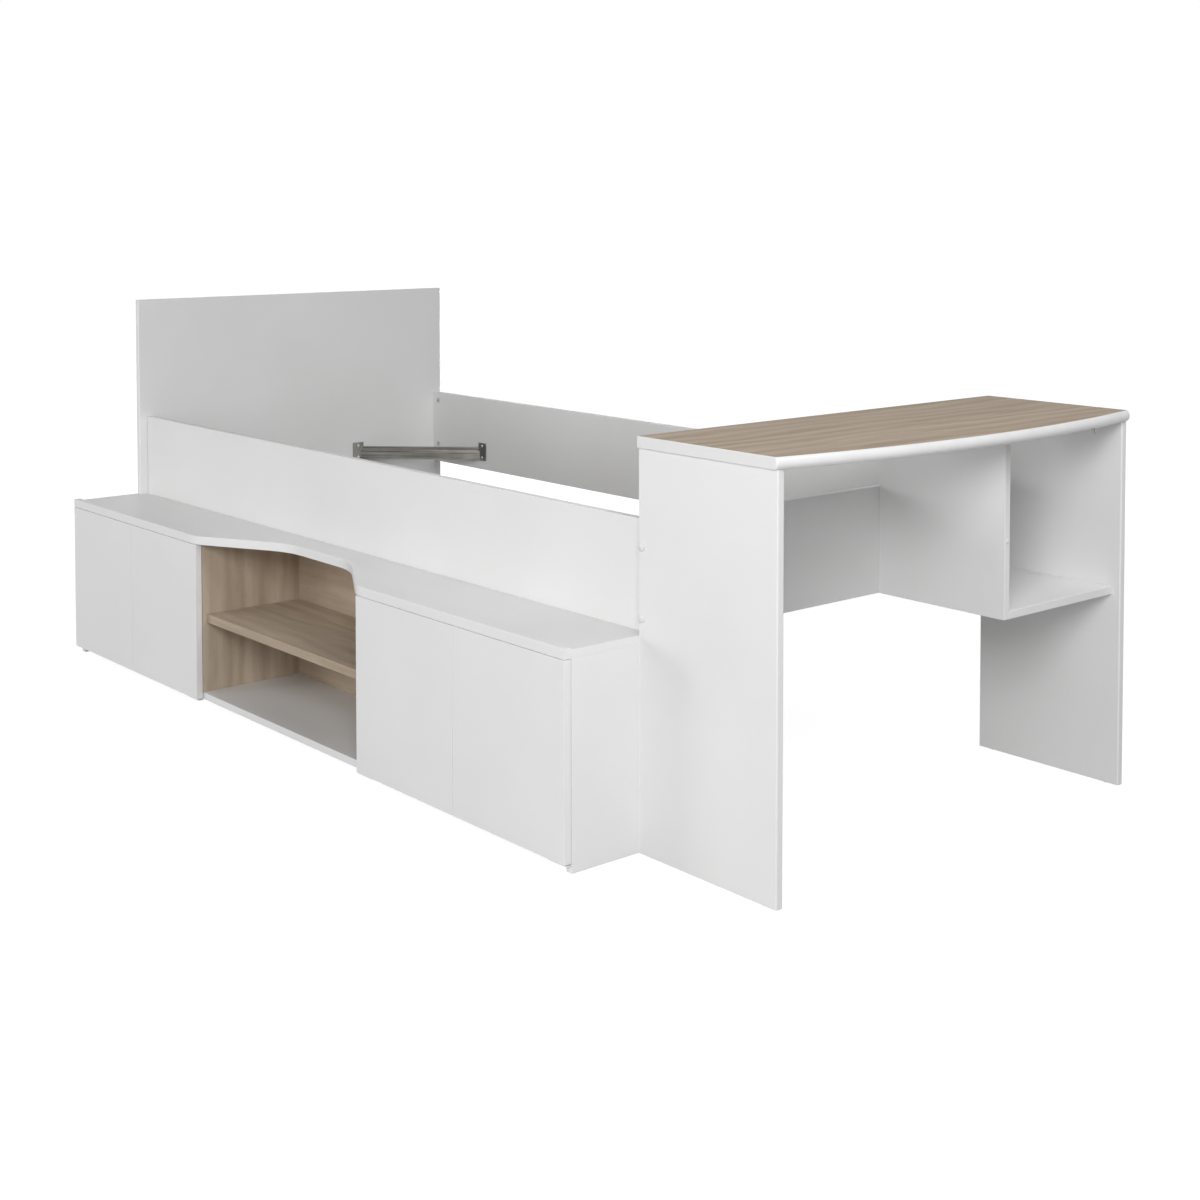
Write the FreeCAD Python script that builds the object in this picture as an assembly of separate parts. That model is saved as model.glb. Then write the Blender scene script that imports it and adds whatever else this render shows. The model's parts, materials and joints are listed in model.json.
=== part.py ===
"""Cabin bed: a single bed frame with a cupboard bench along its front and a desk across its foot.

Lengths are millimetres. X runs from the headboard to the desk, Y from the bench to the wall side
and Z up. The drawing's zero is the bed-side face of the footboard, the outer face of the desk's
left panel and the floor. The finished pieces are moved so that the origin is the middle of the
whole part's box, on the floor.
"""
import FreeCAD, Part
import math
import os
from collections import namedtuple

V = FreeCAD.Vector
UP = V(0, 0, 1)
DOWN = V(0, 0, -1)

# Boards
BOARD = 16.0                # every panel of the bed, bench and desk
BACK_SHEET = 3.0            # thin sheets behind the bench
EDGE_RADIUS = 1.0           # eased edge of a cut board
SOFT_EDGE_RADIUS = 3.0      # rounded upright edges of the headboard and the desk's panels
OVERRUN = 5.0               # how far a cutting shape runs past what it cuts
RUNNING = 0.05              # radial clearance of a part that turns or slides
SEAT_GAP = 0.3              # clearance of pieces that rest close to each other

# Bed
BED_LENGTH = 2020.0         # clear length between the headboard and the footboard
BED_WIDTH = 909.0           # clear width between the rails
HEADBOARD_HEIGHT = 918.0
HEADBOARD_FRONT_LIP = 22.0  # headboard past the front rail
HEADBOARD_REAR_LIP = 10.0   # headboard past the rear rail
RAIL_HEIGHT = 207.0         # front rail, standing on the bench
REAR_RAIL_RAISE = 1.0       # rear rail's lower edge above the bench top
FOOTBOARD_DROP = 11.0       # footboard's lower edge below the bench top

# Desk
DESK_HEIGHT = 763.0
DESK_FRONT_SETBACK = 25.0   # front rail behind the outer face of the desk's left panel
DESK_REAR_SETBACK = 34.0    # outer face of the desk's right panel past the rear rail
DESK_PANEL_DEPTH = 348.0
DESKTOP_THICKNESS = 22.0
DESKTOP_SIDE_LIP = 5.0      # desktop past the outer faces of its panels
DESKTOP_EASE = 2.0          # eased edges of its sides
DESKTOP_SETBACK = 2.0       # desktop without its nosing, at its sides, behind the panels' front edges
DESKTOP_BOW = 53.0          # how far the front curves out in the middle
NOSING = 6.0                # how far the rounded edge strip stands out
NOSING_END_RADIUS = 3.0
KNEE_WIDTH = 617.0          # clear width from the left panel to the divider
DIVIDER_DEPTH = 312.0

# Bench
BENCH_HEIGHT = 400.0
BENCH_PROJECTION = 174.0    # door fronts in front of the desk's left panel
BENCH_BACK = 100.0          # rear of the carcass behind the outer face of the desk's left panel
BENCH_LIP = 4.2             # raised front edge of the bench top
BENCH_FLOOR_CLEARANCE = 18.0
LEFT_CUPBOARD = 670.0       # width of the left cupboard, over its side and niche wall
NICHE_WIDTH = 691.0
NOTCH_DEPTH = 120.0         # curved cut in the bench top above the niche
NOTCH_FLAT = 262.0          # its straight middle
NOTCH_OFFSET = 7.5          # its middle from the niche's middle, toward the desk
NOTCH_RADIUS = 75.0         # its bends at the front edge
NOTCH_BACK_RADIUS = 200.0   # its bends at the straight middle
SHELF_HEIGHT = 217.0        # top of the niche's shelf
SHELF_BOARD = 20.0          # the shelf's own thickness
SHELF_SETBACK = 10.5
SHELF_PLAY = 0.5            # at each end of the shelf and behind it
DOOR_LIFT = 1.0             # door's lower edge above the carcass's lower edge
DOOR_TOP_GAP = 0.8
DOOR_BACK_GAP = 1.3
DOOR_SEAM = 1.2

# Door pivots
PIVOT_FROM_EDGE = 4.0       # axis from the door's hinged edge
PIVOT_FROM_BACK = 6.0       # axis from the door's back
PIN_RADIUS = 2.0
PIN_DEPTH = 22.0            # pin inside the door
PIN_TIP_GAP = 2.0           # upper pin's tip below the end of its bush
BUSH_RADIUS = 3.2
BUSH_DEPTH = 10.0
BUSH_FLANGE_RADIUS = 3.8
BUSH_FLANGE = 0.5
PLATE_THICKNESS = 2.5
PLATE_NOSE = 5.0            # plate in front of the pivot axis
PLATE_WIDTH = 34.0          # plate's tail under the carcass floor
PLATE_REACH = 44.0          # plate behind the carcass front
PLATE_SIDE_GAP = 1.0        # plate's tail beside the bench's side
WASHER_RADIUS = 3.8

# Push latches
LATCH_INSET = 24.0          # latch from the door's free edge
LATCH_WIDTH = 16.0
LATCH_LENGTH = 62.0
LATCH_HEIGHT = 18.0
LATCH_SETBACK = 6.0         # housing behind the carcass front
LATCH_AXIS_DROP = 11.0      # plunger axis below the bench top's underside
LATCH_BORE = 24.0
PLUNGER_RADIUS = 3.0
PLUNGER_IN_HOUSING = 16.0
PLUNGER_TIP_RADIUS = 1.0
STRIKE_RADIUS = 7.0
STRIKE_THICKNESS = 1.0

# Corner braces
BRACE_DROP = 142.0          # bar's upper edge below the rail tops
BRACE_BAR_HEIGHT = 36.0
BRACE_UPPER_BAND = 12.0     # upper band of the bar, above its step
BRACE_STEP = 5.0            # how far the lower band stands out
BRACE_LIP = 4.0             # how far the bar's lower edge turns out
BRACE_STEEL = 2.5
BRACE_PLATE_WIDTH = 35.0
BRACE_PLATE_HEIGHT = 51.0
BRACE_PLATE_RAISE = 13.0    # plate's upper edge above the bar
BRACE_END_REACH = 249.0     # corner of the bed to the near edge of the end board's plate
BRACE_RAIL_REACH = 231.0    # and of the rail's plate
BRACE_SCREW_MARGIN = 9.0    # screws from the plate's upper and lower edges

# Bolts and their covers
BOLT_RADIUS = 3.0
BOLT_LENGTH = 54.0
BOLT_HEAD_RADIUS = 6.0
BOLT_HEAD = 2.5
BOLT_SPACING = 130.0        # the two bolts in each end of the footboard
CAP_RADIUS = 8.5
CAP_RIM = 2.2
CAP_HEIGHT = 4.5
DIVIDER_CAP_RADIUS = 4.6
DIVIDER_CAP_HEIGHT = 2.2
DIVIDER_CAP_RIM = 0.6
DIVIDER_CAP_RISE = 150.0    # above the divider's lower edge

# Cam locks, dowels, screws and shelf pins
CAM_RADIUS = 7.5
CAM_LENGTH = 12.5
CAM_PROUD = 0.6
CAM_SLOT_LENGTH = 9.0
CAM_SLOT_WIDTH = 1.8
CAM_SLOT_DEPTH = 1.6
CAM_FROM_END = 25.0         # cam from the end of a board
CAM_SPACING = 130.0         # the two cams of each rail end
CAM_TOP_MARGIN = 24.0       # upper rail cam below the rail's top
CAM_FRONT_MARGIN = 65.0     # front desk cams from the upright's front edge
CAM_BACK_MARGIN = 60.0      # back desk cams from the desk's back
CAM_BOLT_RADIUS = 3.0
CAM_BOLT_SINK = 11.0        # cam bolt inside the board that it is screwed into
DOWEL_RADIUS = 4.0
DOWEL_LENGTH = 26.0
DOWEL_SINK = 9.0            # dowel inside the face that it is glued into
DOWEL_FRONT_MARGIN = 42.0
DOWEL_BACK_MARGIN = 38.0
DIVIDER_DOWEL_MARGIN = 60.0  # divider's dowels from the footboard's upper and lower edges
SCREW_HEAD_RADIUS = 3.6
SCREW_HEAD = 2.0
SCREW_RADIUS = 1.75
SCREW_LENGTH = 12.0
FIXING_SHARES = (0.3, 0.75)  # places of two screws along the length that they hold
SHELF_PIN_RADIUS = 2.5
SHELF_PIN_IN_WALL = 9.0
SHELF_PIN_OUT = 8.0
SHELF_PIN_MARGIN = 26.0

# Feet
GLIDE = 1.0                 # nail-on glides under the uprights
GLIDE_RADIUS = 6.5
GLIDE_NAIL_RADIUS = 1.25
GLIDE_NAIL = 14.0
GLIDE_MARGIN = 32.0         # glide from the end of an upright's lower edge
HEADBOARD_GLIDE_MARGIN = 70.0
FOOT_RADIUS = 15.0          # levelling feet under the carcass floor
FOOT_PAD = 7.0
FOOT_STEM_RADIUS = 5.0
FOOT_STEM_SINK = 10.0
FOOT_FRONT_MARGIN = 78.0
FOOT_BACK_MARGIN = 60.0

# Places along X
HEAD_FACE = -BED_LENGTH
HEAD_BACK = HEAD_FACE - BOARD
NICHE_LEFT = HEAD_BACK + LEFT_CUPBOARD
NICHE_RIGHT = NICHE_LEFT + NICHE_WIDTH
DESK_BACK = BOARD
DIVIDER_FRONT = DESK_BACK + DIVIDER_DEPTH
DESKTOP_SIDE_DEPTH = DESK_PANEL_DEPTH - DESKTOP_SETBACK
DESK_CROWN = DESKTOP_SIDE_DEPTH + DESKTOP_BOW

# Places along Y
FRONT_RAIL = DESK_FRONT_SETBACK
FRONT_RAIL_BACK = FRONT_RAIL + BOARD
REAR_RAIL = FRONT_RAIL_BACK + BED_WIDTH
REAR_RAIL_BACK = REAR_RAIL + BOARD
HEAD_LEFT = FRONT_RAIL - HEADBOARD_FRONT_LIP
HEAD_RIGHT = REAR_RAIL_BACK + HEADBOARD_REAR_LIP
DESK_WIDTH = REAR_RAIL_BACK + DESK_REAR_SETBACK
DESK_INNER_RIGHT = DESK_WIDTH - BOARD
DIVIDER = BOARD + KNEE_WIDTH
DIVIDER_RIGHT = DIVIDER + BOARD
DOOR_FRONT = -BENCH_PROJECTION
DOOR_BACK = DOOR_FRONT + BOARD
CARCASS_FRONT = DOOR_BACK + DOOR_BACK_GAP
PIVOT_Y = DOOR_BACK - PIVOT_FROM_BACK
LATCH_FRONT = CARCASS_FRONT + LATCH_SETBACK

# Heights
RAIL_TOP = BENCH_HEIGHT + RAIL_HEIGHT
REAR_RAIL_BOTTOM = BENCH_HEIGHT + REAR_RAIL_RAISE
FOOTBOARD_BOTTOM = BENCH_HEIGHT - FOOTBOARD_DROP
FOOTBOARD_MIDDLE = (FOOTBOARD_BOTTOM + RAIL_TOP) / 2
DESK_UNDERSIDE = DESK_HEIGHT - DESKTOP_THICKNESS
BENCH_UNDERSIDE = BENCH_HEIGHT - BOARD
BENCH_FLOOR = BENCH_FLOOR_CLEARANCE + BOARD
DOOR_BOTTOM = BENCH_FLOOR_CLEARANCE + DOOR_LIFT
DOOR_TOP = BENCH_UNDERSIDE - DOOR_TOP_GAP
PLATE_BOTTOM = BENCH_FLOOR_CLEARANCE - PLATE_THICKNESS
LATCH_AXIS = BENCH_UNDERSIDE - LATCH_AXIS_DROP
BRACE_TOP = RAIL_TOP - BRACE_DROP
BRACE_BOTTOM = BRACE_TOP - BRACE_BAR_HEIGHT
BRACE_PLATE_TOP = BRACE_TOP + BRACE_PLATE_RAISE
BRACE_PLATE_BOTTOM = BRACE_PLATE_TOP - BRACE_PLATE_HEIGHT
RAIL_CAMS = (RAIL_TOP - CAM_TOP_MARGIN, RAIL_TOP - CAM_TOP_MARGIN - CAM_SPACING)

# Doors: X of the hinged edge, the way the door runs from it, and its width
Door = namedtuple("Door", "name hinged way width")
LEFT_DOOR = (LEFT_CUPBOARD - DOOR_SEAM) / 2
RIGHT_DOOR = (-NICHE_RIGHT - DOOR_SEAM) / 2
DOORS = (
    Door("left_outer", HEAD_BACK, 1, LEFT_DOOR),
    Door("left_inner", NICHE_LEFT, -1, LEFT_DOOR),
    Door("right_inner", NICHE_RIGHT, 1, RIGHT_DOOR),
    Door("right_outer", 0.0, -1, RIGHT_DOOR),
)

# Corners of the bed: X and Y, and the ways along the rail and along the end board
BRACE_CORNERS = {
    "head_front": (HEAD_FACE, FRONT_RAIL_BACK, 1, 1),
    "head_rear": (HEAD_FACE, REAR_RAIL, 1, -1),
    "foot_front": (0.0, FRONT_RAIL_BACK, -1, 1),
    "foot_rear": (0.0, REAR_RAIL, -1, -1),
}

# Cam lock: its middle on the board's face, the way into the board, and the bolt that it holds
Cam = namedtuple("Cam", "place into bolt")

# Middle of the whole part's box on the floor, which becomes the origin
BOX_X = (HEAD_BACK, DESK_CROWN + NOSING)
BOX_Y = (DOOR_FRONT, DESK_WIDTH + max(DESKTOP_SIDE_LIP, CAP_HEIGHT))
ORIGIN = V(sum(BOX_X) / 2, sum(BOX_Y) / 2, 0)


# Basic shapes

def block(low, high):
    """Plain box between two opposite corners, given in any order."""
    near = V(*[min(a, b) for a, b in zip(low, high)])
    far = V(*[max(a, b) for a, b in zip(low, high)])
    size = far - near
    return Part.makeBox(size.x, size.y, size.z, near)


def board(low, high):
    """Board with all its edges eased."""
    shape = block(low, high)
    return shape.makeFillet(EDGE_RADIUS, shape.Edges)


def upright(edge):
    """True for a straight edge along Z."""
    first = edge.Vertexes[0].Point
    last = edge.Vertexes[-1].Point
    return math.hypot(last.x - first.x, last.y - first.y) < EDGE_RADIUS < abs(last.z - first.z)


def ease_level_rims(shape, eased=lambda edge: True):
    """Ease the edges round the level faces, or those of them that are chosen."""
    level = [face for face in shape.Faces if face.BoundBox.ZLength < EDGE_RADIUS]
    return shape.makeFillet(EDGE_RADIUS, [edge for face in level for edge in face.Edges if eased(edge)])


def soft_board(low, high, soft):
    """Board whose chosen upright edges are rounded, with its upper and lower rims eased."""
    shape = block(low, high)
    chosen = [edge for edge in shape.Edges if upright(edge) and soft(edge)]
    return ease_level_rims(shape.makeFillet(SOFT_EDGE_RADIUS, chosen))


def rod(radius, length, point, direction):
    """Round bar from a point along a direction."""
    return Part.makeCylinder(radius, length, point, direction)


def headed(point, direction, head_radius, head, radius, length):
    """Screw or bolt whose head seats at a point and whose shank runs on from there."""
    top = rod(head_radius, head, point - direction * head, direction)
    return top.fuse(rod(radius, length, point, direction)).removeSplitter()


def screw(point, direction):
    return headed(point, direction, SCREW_HEAD_RADIUS, SCREW_HEAD, SCREW_RADIUS, SCREW_LENGTH)


def straight_path(points):
    return [Part.LineSegment(a, b).toShape() for a, b in zip(points, points[1:])]


def rounded_path(points, radii):
    """Edges through the points, with every inner corner rounded by a tangent arc of its own radius."""
    edges = []
    start = points[0]
    for before, corner, after, radius in zip(points, points[1:], points[2:], radii):
        back = (before - corner).normalize()
        ahead = (after - corner).normalize()
        half = back.getAngle(ahead) / 2
        inward = (back + ahead).normalize()
        first = corner + back * (radius / math.tan(half))
        last = corner + ahead * (radius / math.tan(half))
        middle = corner + inward * (radius / math.sin(half) - radius)
        edges.append(Part.LineSegment(start, first).toShape())
        edges.append(Part.Arc(first, middle, last).toShape())
        start = last
    edges.append(Part.LineSegment(start, points[-1]).toShape())
    return edges


def slab(edges, thickness):
    """Flat piece of the given thickness above a closed outline."""
    return Part.Face(Part.Wire(edges)).extrude(UP * thickness)


def dome(point, direction, radius, rim, height):
    """Round cover with a short straight rim and a domed face."""
    rise = height - rim
    sphere = (radius ** 2 + rise ** 2) / (2 * rise)
    half = math.asin(radius / sphere) / 2
    shoulder = V(sphere * math.sin(half), 0, height - sphere + sphere * math.cos(half))
    edges = straight_path((V(0, 0, height), V(0, 0, 0), V(radius, 0, 0), V(radius, 0, rim)))
    edges.append(Part.Arc(V(radius, 0, rim), shoulder, V(0, 0, height)).toShape())
    solid = Part.Face(Part.Wire(edges)).revolve(V(0, 0, 0), UP, 360)
    solid.Placement = FreeCAD.Placement(point, FreeCAD.Rotation(UP, direction))
    return solid


def drilled(shape, *groups):
    """Shape with room for every fastener of the groups that reaches into it."""
    for group in groups:
        for tool in group:
            if shape.BoundBox.intersect(tool.BoundBox):
                shape = shape.cut(tool)
    return shape


# Cam locks, bolts and dowels

def cam_body(cam):
    """Round body of a lock, and the room that it takes in its board."""
    return rod(CAM_RADIUS, CAM_LENGTH, cam.place - cam.into * CAM_PROUD, cam.into)


def cam_lock(cam):
    """Slotted lock in a board's face, holding the end of its bolt."""
    outer = cam.place - cam.into * CAM_PROUD
    reach = V(CAM_SLOT_LENGTH / 2, CAM_SLOT_DEPTH, CAM_SLOT_WIDTH / 2)
    return cam_body(cam).cut(block(outer - reach, outer + reach)).cut(cam.bolt)


def dowel(seat, direction):
    """Dowel that is glued into the face at its seat and runs on into the next board."""
    return rod(DOWEL_RADIUS, DOWEL_LENGTH, seat - direction * DOWEL_SINK, direction)


def cam_bolt(seat, direction):
    """Bolt that is screwed into the face at its seat and runs on to its lock."""
    length = CAM_BOLT_SINK + CAM_FROM_END
    return rod(CAM_BOLT_RADIUS, length, seat - direction * CAM_BOLT_SINK, direction)


def rail_joints():
    """Cams and dowels of the four rail ends."""
    cams, dowels = [], []
    for inner, into_rail in ((FRONT_RAIL_BACK, -1), (REAR_RAIL, 1)):
        middle = inner + into_rail * BOARD / 2
        for face, way in ((HEAD_FACE, 1), (0.0, -1)):
            along = V(way, 0, 0)
            for z in RAIL_CAMS:
                place = V(face, inner, z) + along * CAM_FROM_END
                cams.append(Cam(place, V(0, into_rail, 0), cam_bolt(V(face, middle, z), along)))
            dowels.append(dowel(V(face, middle, sum(RAIL_CAMS) / 2), along))
    return cams, dowels


def desk_joints():
    """Cams and dowels of the desktop's uprights, and the dowels of the cubby."""
    cams, dowels = [], []
    uprights = (
        (BOARD, -1, DESK_PANEL_DEPTH),
        (DIVIDER_RIGHT, -1, DIVIDER_FRONT),
        (DESK_INNER_RIGHT, 1, DESK_PANEL_DEPTH),
    )
    for face, into_board, front in uprights:
        middle = face + into_board * BOARD / 2
        back_x = CAM_BACK_MARGIN
        front_x = front - CAM_FRONT_MARGIN
        for x, dowel_x in ((back_x, back_x + DOWEL_BACK_MARGIN), (front_x, front_x - DOWEL_FRONT_MARGIN)):
            place = V(x, face, DESK_UNDERSIDE - CAM_FROM_END)
            cams.append(Cam(place, V(0, into_board, 0), cam_bolt(V(x, middle, DESK_UNDERSIDE), DOWN)))
            dowels.append(dowel(V(dowel_x, middle, DESK_UNDERSIDE), DOWN))
    shelf_middle = FOOTBOARD_BOTTOM + BOARD / 2
    for face, way in ((DIVIDER_RIGHT, 1), (DESK_INNER_RIGHT, -1)):
        for x in (CAM_BACK_MARGIN, DIVIDER_FRONT - CAM_FRONT_MARGIN):
            dowels.append(dowel(V(x, face, shelf_middle), V(0, way, 0)))
    for z in (FOOTBOARD_BOTTOM + DIVIDER_DOWEL_MARGIN, RAIL_TOP - DIVIDER_DOWEL_MARGIN):
        dowels.append(dowel(V(DESK_BACK, DIVIDER + BOARD / 2, z), V(1, 0, 0)))
    return cams, dowels


def bench_dowels():
    """Dowels between the bench's top, floor, sides and niche walls."""
    front = CARCASS_FRONT + DOWEL_FRONT_MARGIN
    back = BENCH_BACK - DOWEL_BACK_MARGIN
    left_back = HEAD_LEFT - DOWEL_BACK_MARGIN
    left = HEAD_FACE - BOARD / 2
    walls = (NICHE_LEFT - BOARD / 2, NICHE_RIGHT + BOARD / 2)
    places = [(x, y) for x in (*walls, -BOARD / 2) for y in (front, back)]
    places += [(left, front), (left, left_back)]
    dowels = [dowel(V(x, y, BENCH_UNDERSIDE), DOWN) for x, y in places]
    dowels += [dowel(V(x, y, BENCH_FLOOR), UP) for x in walls for y in (front, back)]
    for face, way, rear in ((HEAD_FACE, 1, left_back), (-BOARD, -1, back)):
        for y in (front, rear):
            dowels.append(dowel(V(face, y, BENCH_FLOOR - BOARD / 2), V(way, 0, 0)))
    return dowels


def footboard_bolts():
    """Bolts through the desk's side panels into the footboard's ends, with their domed covers."""
    bolts, caps = [], {}
    for side, y, way in (("left", 0.0, 1), ("right", DESK_WIDTH, -1)):
        covers = []
        for z in (FOOTBOARD_MIDDLE - BOLT_SPACING / 2, FOOTBOARD_MIDDLE + BOLT_SPACING / 2):
            seat = V(BOARD / 2, y, z)
            along = V(0, way, 0)
            bolts.append(headed(seat, along, BOLT_HEAD_RADIUS, BOLT_HEAD, BOLT_RADIUS, BOLT_LENGTH))
            recess = rod(BOLT_HEAD_RADIUS + SEAT_GAP, BOLT_HEAD + SEAT_GAP, seat, along * -1)
            covers.append(dome(seat, along * -1, CAP_RADIUS, CAP_RIM, CAP_HEIGHT).cut(recess))
        caps[side + "_bolt_caps"] = Part.makeCompound(covers)
    return bolts, caps


# Feet and shelf pins

def glides():
    """Nail-on glides under every upright that stands on the floor."""
    head = HEAD_FACE - BOARD / 2
    right = -BOARD / 2
    places = [(head, HEAD_LEFT + HEADBOARD_GLIDE_MARGIN), (head, HEAD_RIGHT - HEADBOARD_GLIDE_MARGIN)]
    places += [(head, CARCASS_FRONT + GLIDE_MARGIN), (head, HEAD_LEFT - GLIDE_MARGIN)]
    places += [(right, CARCASS_FRONT + GLIDE_MARGIN), (right, BENCH_BACK - GLIDE_MARGIN)]
    for y in (BOARD / 2, DESK_WIDTH - BOARD / 2):
        places += [(GLIDE_MARGIN, y), (DESK_PANEL_DEPTH - GLIDE_MARGIN, y)]
    pieces = []
    for x, y in places:
        disc = rod(GLIDE_RADIUS, GLIDE, V(x, y, 0), UP)
        nail = rod(GLIDE_NAIL_RADIUS, GLIDE + GLIDE_NAIL, V(x, y, 0), UP)
        pieces.append(disc.fuse(nail).removeSplitter())
    return pieces


def levelling_feet():
    """Feet under the carcass floor, below the niche's walls."""
    feet = []
    stem = BENCH_FLOOR_CLEARANCE + FOOT_STEM_SINK
    for x in (NICHE_LEFT - BOARD / 2, NICHE_RIGHT + BOARD / 2):
        for y in (CARCASS_FRONT + FOOT_FRONT_MARGIN, BENCH_BACK - FOOT_BACK_MARGIN):
            pad = rod(FOOT_RADIUS, FOOT_PAD, V(x, y, 0), UP)
            feet.append(pad.fuse(rod(FOOT_STEM_RADIUS, stem, V(x, y, 0), UP)).removeSplitter())
    return feet


def shelf_pins():
    """Pins in the niche's walls that carry the shelf."""
    pins = []
    z = SHELF_HEIGHT - SHELF_BOARD - SHELF_PIN_RADIUS
    front = CARCASS_FRONT + SHELF_SETBACK + SHELF_PIN_MARGIN
    for x, way in ((NICHE_LEFT, 1), (NICHE_RIGHT, -1)):
        for y in (front, BENCH_BACK - SHELF_PIN_MARGIN):
            start = V(x - way * SHELF_PIN_IN_WALL, y, z)
            pins.append(rod(SHELF_PIN_RADIUS, SHELF_PIN_IN_WALL + SHELF_PIN_OUT, start, V(way, 0, 0)))
    return pins


# Corner braces

def brace(corner_x, corner_y, along_x, along_y):
    """Stepped steel bar across one corner of the bed, with a plate at each end."""
    end_far = BRACE_END_REACH + BRACE_PLATE_WIDTH
    rail_far = BRACE_RAIL_REACH + BRACE_PLATE_WIDTH
    end_plate = block(
        (corner_x, corner_y + along_y * BRACE_END_REACH, BRACE_PLATE_BOTTOM),
        (corner_x + along_x * BRACE_STEEL, corner_y + along_y * end_far, BRACE_PLATE_TOP),
    )
    rail_plate = block(
        (corner_x + along_x * BRACE_RAIL_REACH, corner_y, BRACE_PLATE_BOTTOM),
        (corner_x + along_x * rail_far, corner_y + along_y * BRACE_STEEL, BRACE_PLATE_TOP),
    )
    step = BRACE_TOP - BRACE_UPPER_BAND
    section = (
        (0, BRACE_TOP),
        (BRACE_STEEL, BRACE_TOP),
        (BRACE_STEEL, step),
        (BRACE_STEEL + BRACE_STEP, step),
        (BRACE_STEEL + BRACE_STEP, BRACE_BOTTOM + BRACE_STEEL),
        (BRACE_STEEL + BRACE_STEP + BRACE_LIP, BRACE_BOTTOM + BRACE_STEEL),
        (BRACE_STEEL + BRACE_STEP + BRACE_LIP, BRACE_BOTTOM),
        (BRACE_STEP, BRACE_BOTTOM),
        (BRACE_STEP, step - BRACE_STEEL),
        (0, step - BRACE_STEEL),
        (0, BRACE_TOP),
    )
    inward = V(along_x * BRACE_END_REACH, along_y * BRACE_RAIL_REACH, 0).normalize()
    run = V(along_x * BRACE_RAIL_REACH, -along_y * BRACE_END_REACH, 0).normalize()
    start = V(corner_x, corner_y + along_y * BRACE_END_REACH, 0) - run * BRACE_PLATE_WIDTH
    outline = [start + inward * out + UP * z for out, z in section]
    length = math.hypot(BRACE_RAIL_REACH, BRACE_END_REACH) + BRACE_PLATE_WIDTH * 2
    bar = Part.Face(Part.Wire(straight_path(outline))).extrude(run * length)
    room = block(
        (corner_x, corner_y, BRACE_BOTTOM - OVERRUN),
        (corner_x + along_x * rail_far, corner_y + along_y * end_far, BRACE_TOP + OVERRUN),
    )
    return bar.common(room).fuse([end_plate, rail_plate]).removeSplitter()


def brace_screws(corner_x, corner_y, along_x, along_y):
    """The two screws of each plate of one brace."""
    end_middle = BRACE_END_REACH + BRACE_PLATE_WIDTH / 2
    rail_middle = BRACE_RAIL_REACH + BRACE_PLATE_WIDTH / 2
    screws = []
    for z in (BRACE_PLATE_TOP - BRACE_SCREW_MARGIN, BRACE_PLATE_BOTTOM + BRACE_SCREW_MARGIN):
        end_seat = V(corner_x + along_x * BRACE_STEEL, corner_y + along_y * end_middle, z)
        rail_seat = V(corner_x + along_x * rail_middle, corner_y + along_y * BRACE_STEEL, z)
        screws.append(screw(end_seat, V(-along_x, 0, 0)))
        screws.append(screw(rail_seat, V(0, -along_y, 0)))
    return screws


# Doors, pivots and latches

def door_board(door):
    return board(
        (door.hinged, DOOR_FRONT, DOOR_BOTTOM),
        (door.hinged + door.way * door.width, DOOR_BACK, DOOR_TOP),
    )


def pivot(door, z):
    """Point on the door's pivot axis."""
    return V(door.hinged + door.way * PIVOT_FROM_EDGE, PIVOT_Y, z)


def pivot_pins(door):
    """Lower and upper pin of one door."""
    lower_length = DOOR_BOTTOM + PIN_DEPTH - PLATE_BOTTOM
    upper_start = DOOR_TOP - PIN_DEPTH
    upper_end = BENCH_UNDERSIDE + BUSH_DEPTH - PIN_TIP_GAP
    return [
        rod(PIN_RADIUS, lower_length, pivot(door, PLATE_BOTTOM), UP),
        rod(PIN_RADIUS, upper_end - upper_start, pivot(door, upper_start), UP),
    ]


def bush_seat(door):
    """Room for the bush's sleeve in the underside of the bench top."""
    return rod(BUSH_RADIUS, BUSH_DEPTH, pivot(door, BENCH_UNDERSIDE), UP)


def pivot_bush(door):
    """Flanged bush that carries the upper pin."""
    flange_bottom = BENCH_UNDERSIDE - BUSH_FLANGE
    flange = rod(BUSH_FLANGE_RADIUS, BUSH_FLANGE, pivot(door, flange_bottom), UP)
    bore = rod(PIN_RADIUS + RUNNING, BUSH_FLANGE + BUSH_DEPTH, pivot(door, flange_bottom), UP)
    return bush_seat(door).fuse(flange).removeSplitter().cut(bore)


def pivot_plate(door):
    """Angled steel plate under the carcass floor, whose nose carries the lower pin."""
    tail = door.hinged + door.way * (BOARD + PLATE_SIDE_GAP)
    end = tail + door.way * PLATE_WIDTH
    front = PIVOT_Y - PLATE_NOSE
    shoulder = CARCASS_FRONT - SEAT_GAP
    back = CARCASS_FRONT + PLATE_REACH
    corners = (
        (door.hinged, front), (end, front), (end, back), (tail, back),
        (tail, shoulder), (door.hinged, shoulder), (door.hinged, front),
    )
    plate = slab(straight_path([V(x, y, PLATE_BOTTOM) for x, y in corners]), PLATE_THICKNESS)
    return plate.cut(rod(PIN_RADIUS + RUNNING, PLATE_THICKNESS, pivot(door, PLATE_BOTTOM), UP))


def plate_screws(door):
    """Two flush screws that hold one pivot plate."""
    x = door.hinged + door.way * (BOARD + PLATE_SIDE_GAP + PLATE_WIDTH / 2)
    screws = []
    for share in FIXING_SHARES:
        seat = V(x, CARCASS_FRONT + PLATE_REACH * share, BENCH_FLOOR_CLEARANCE)
        screws.append(headed(seat, UP, SCREW_HEAD_RADIUS, PLATE_THICKNESS, SCREW_RADIUS, SCREW_LENGTH))
    return screws


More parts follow.
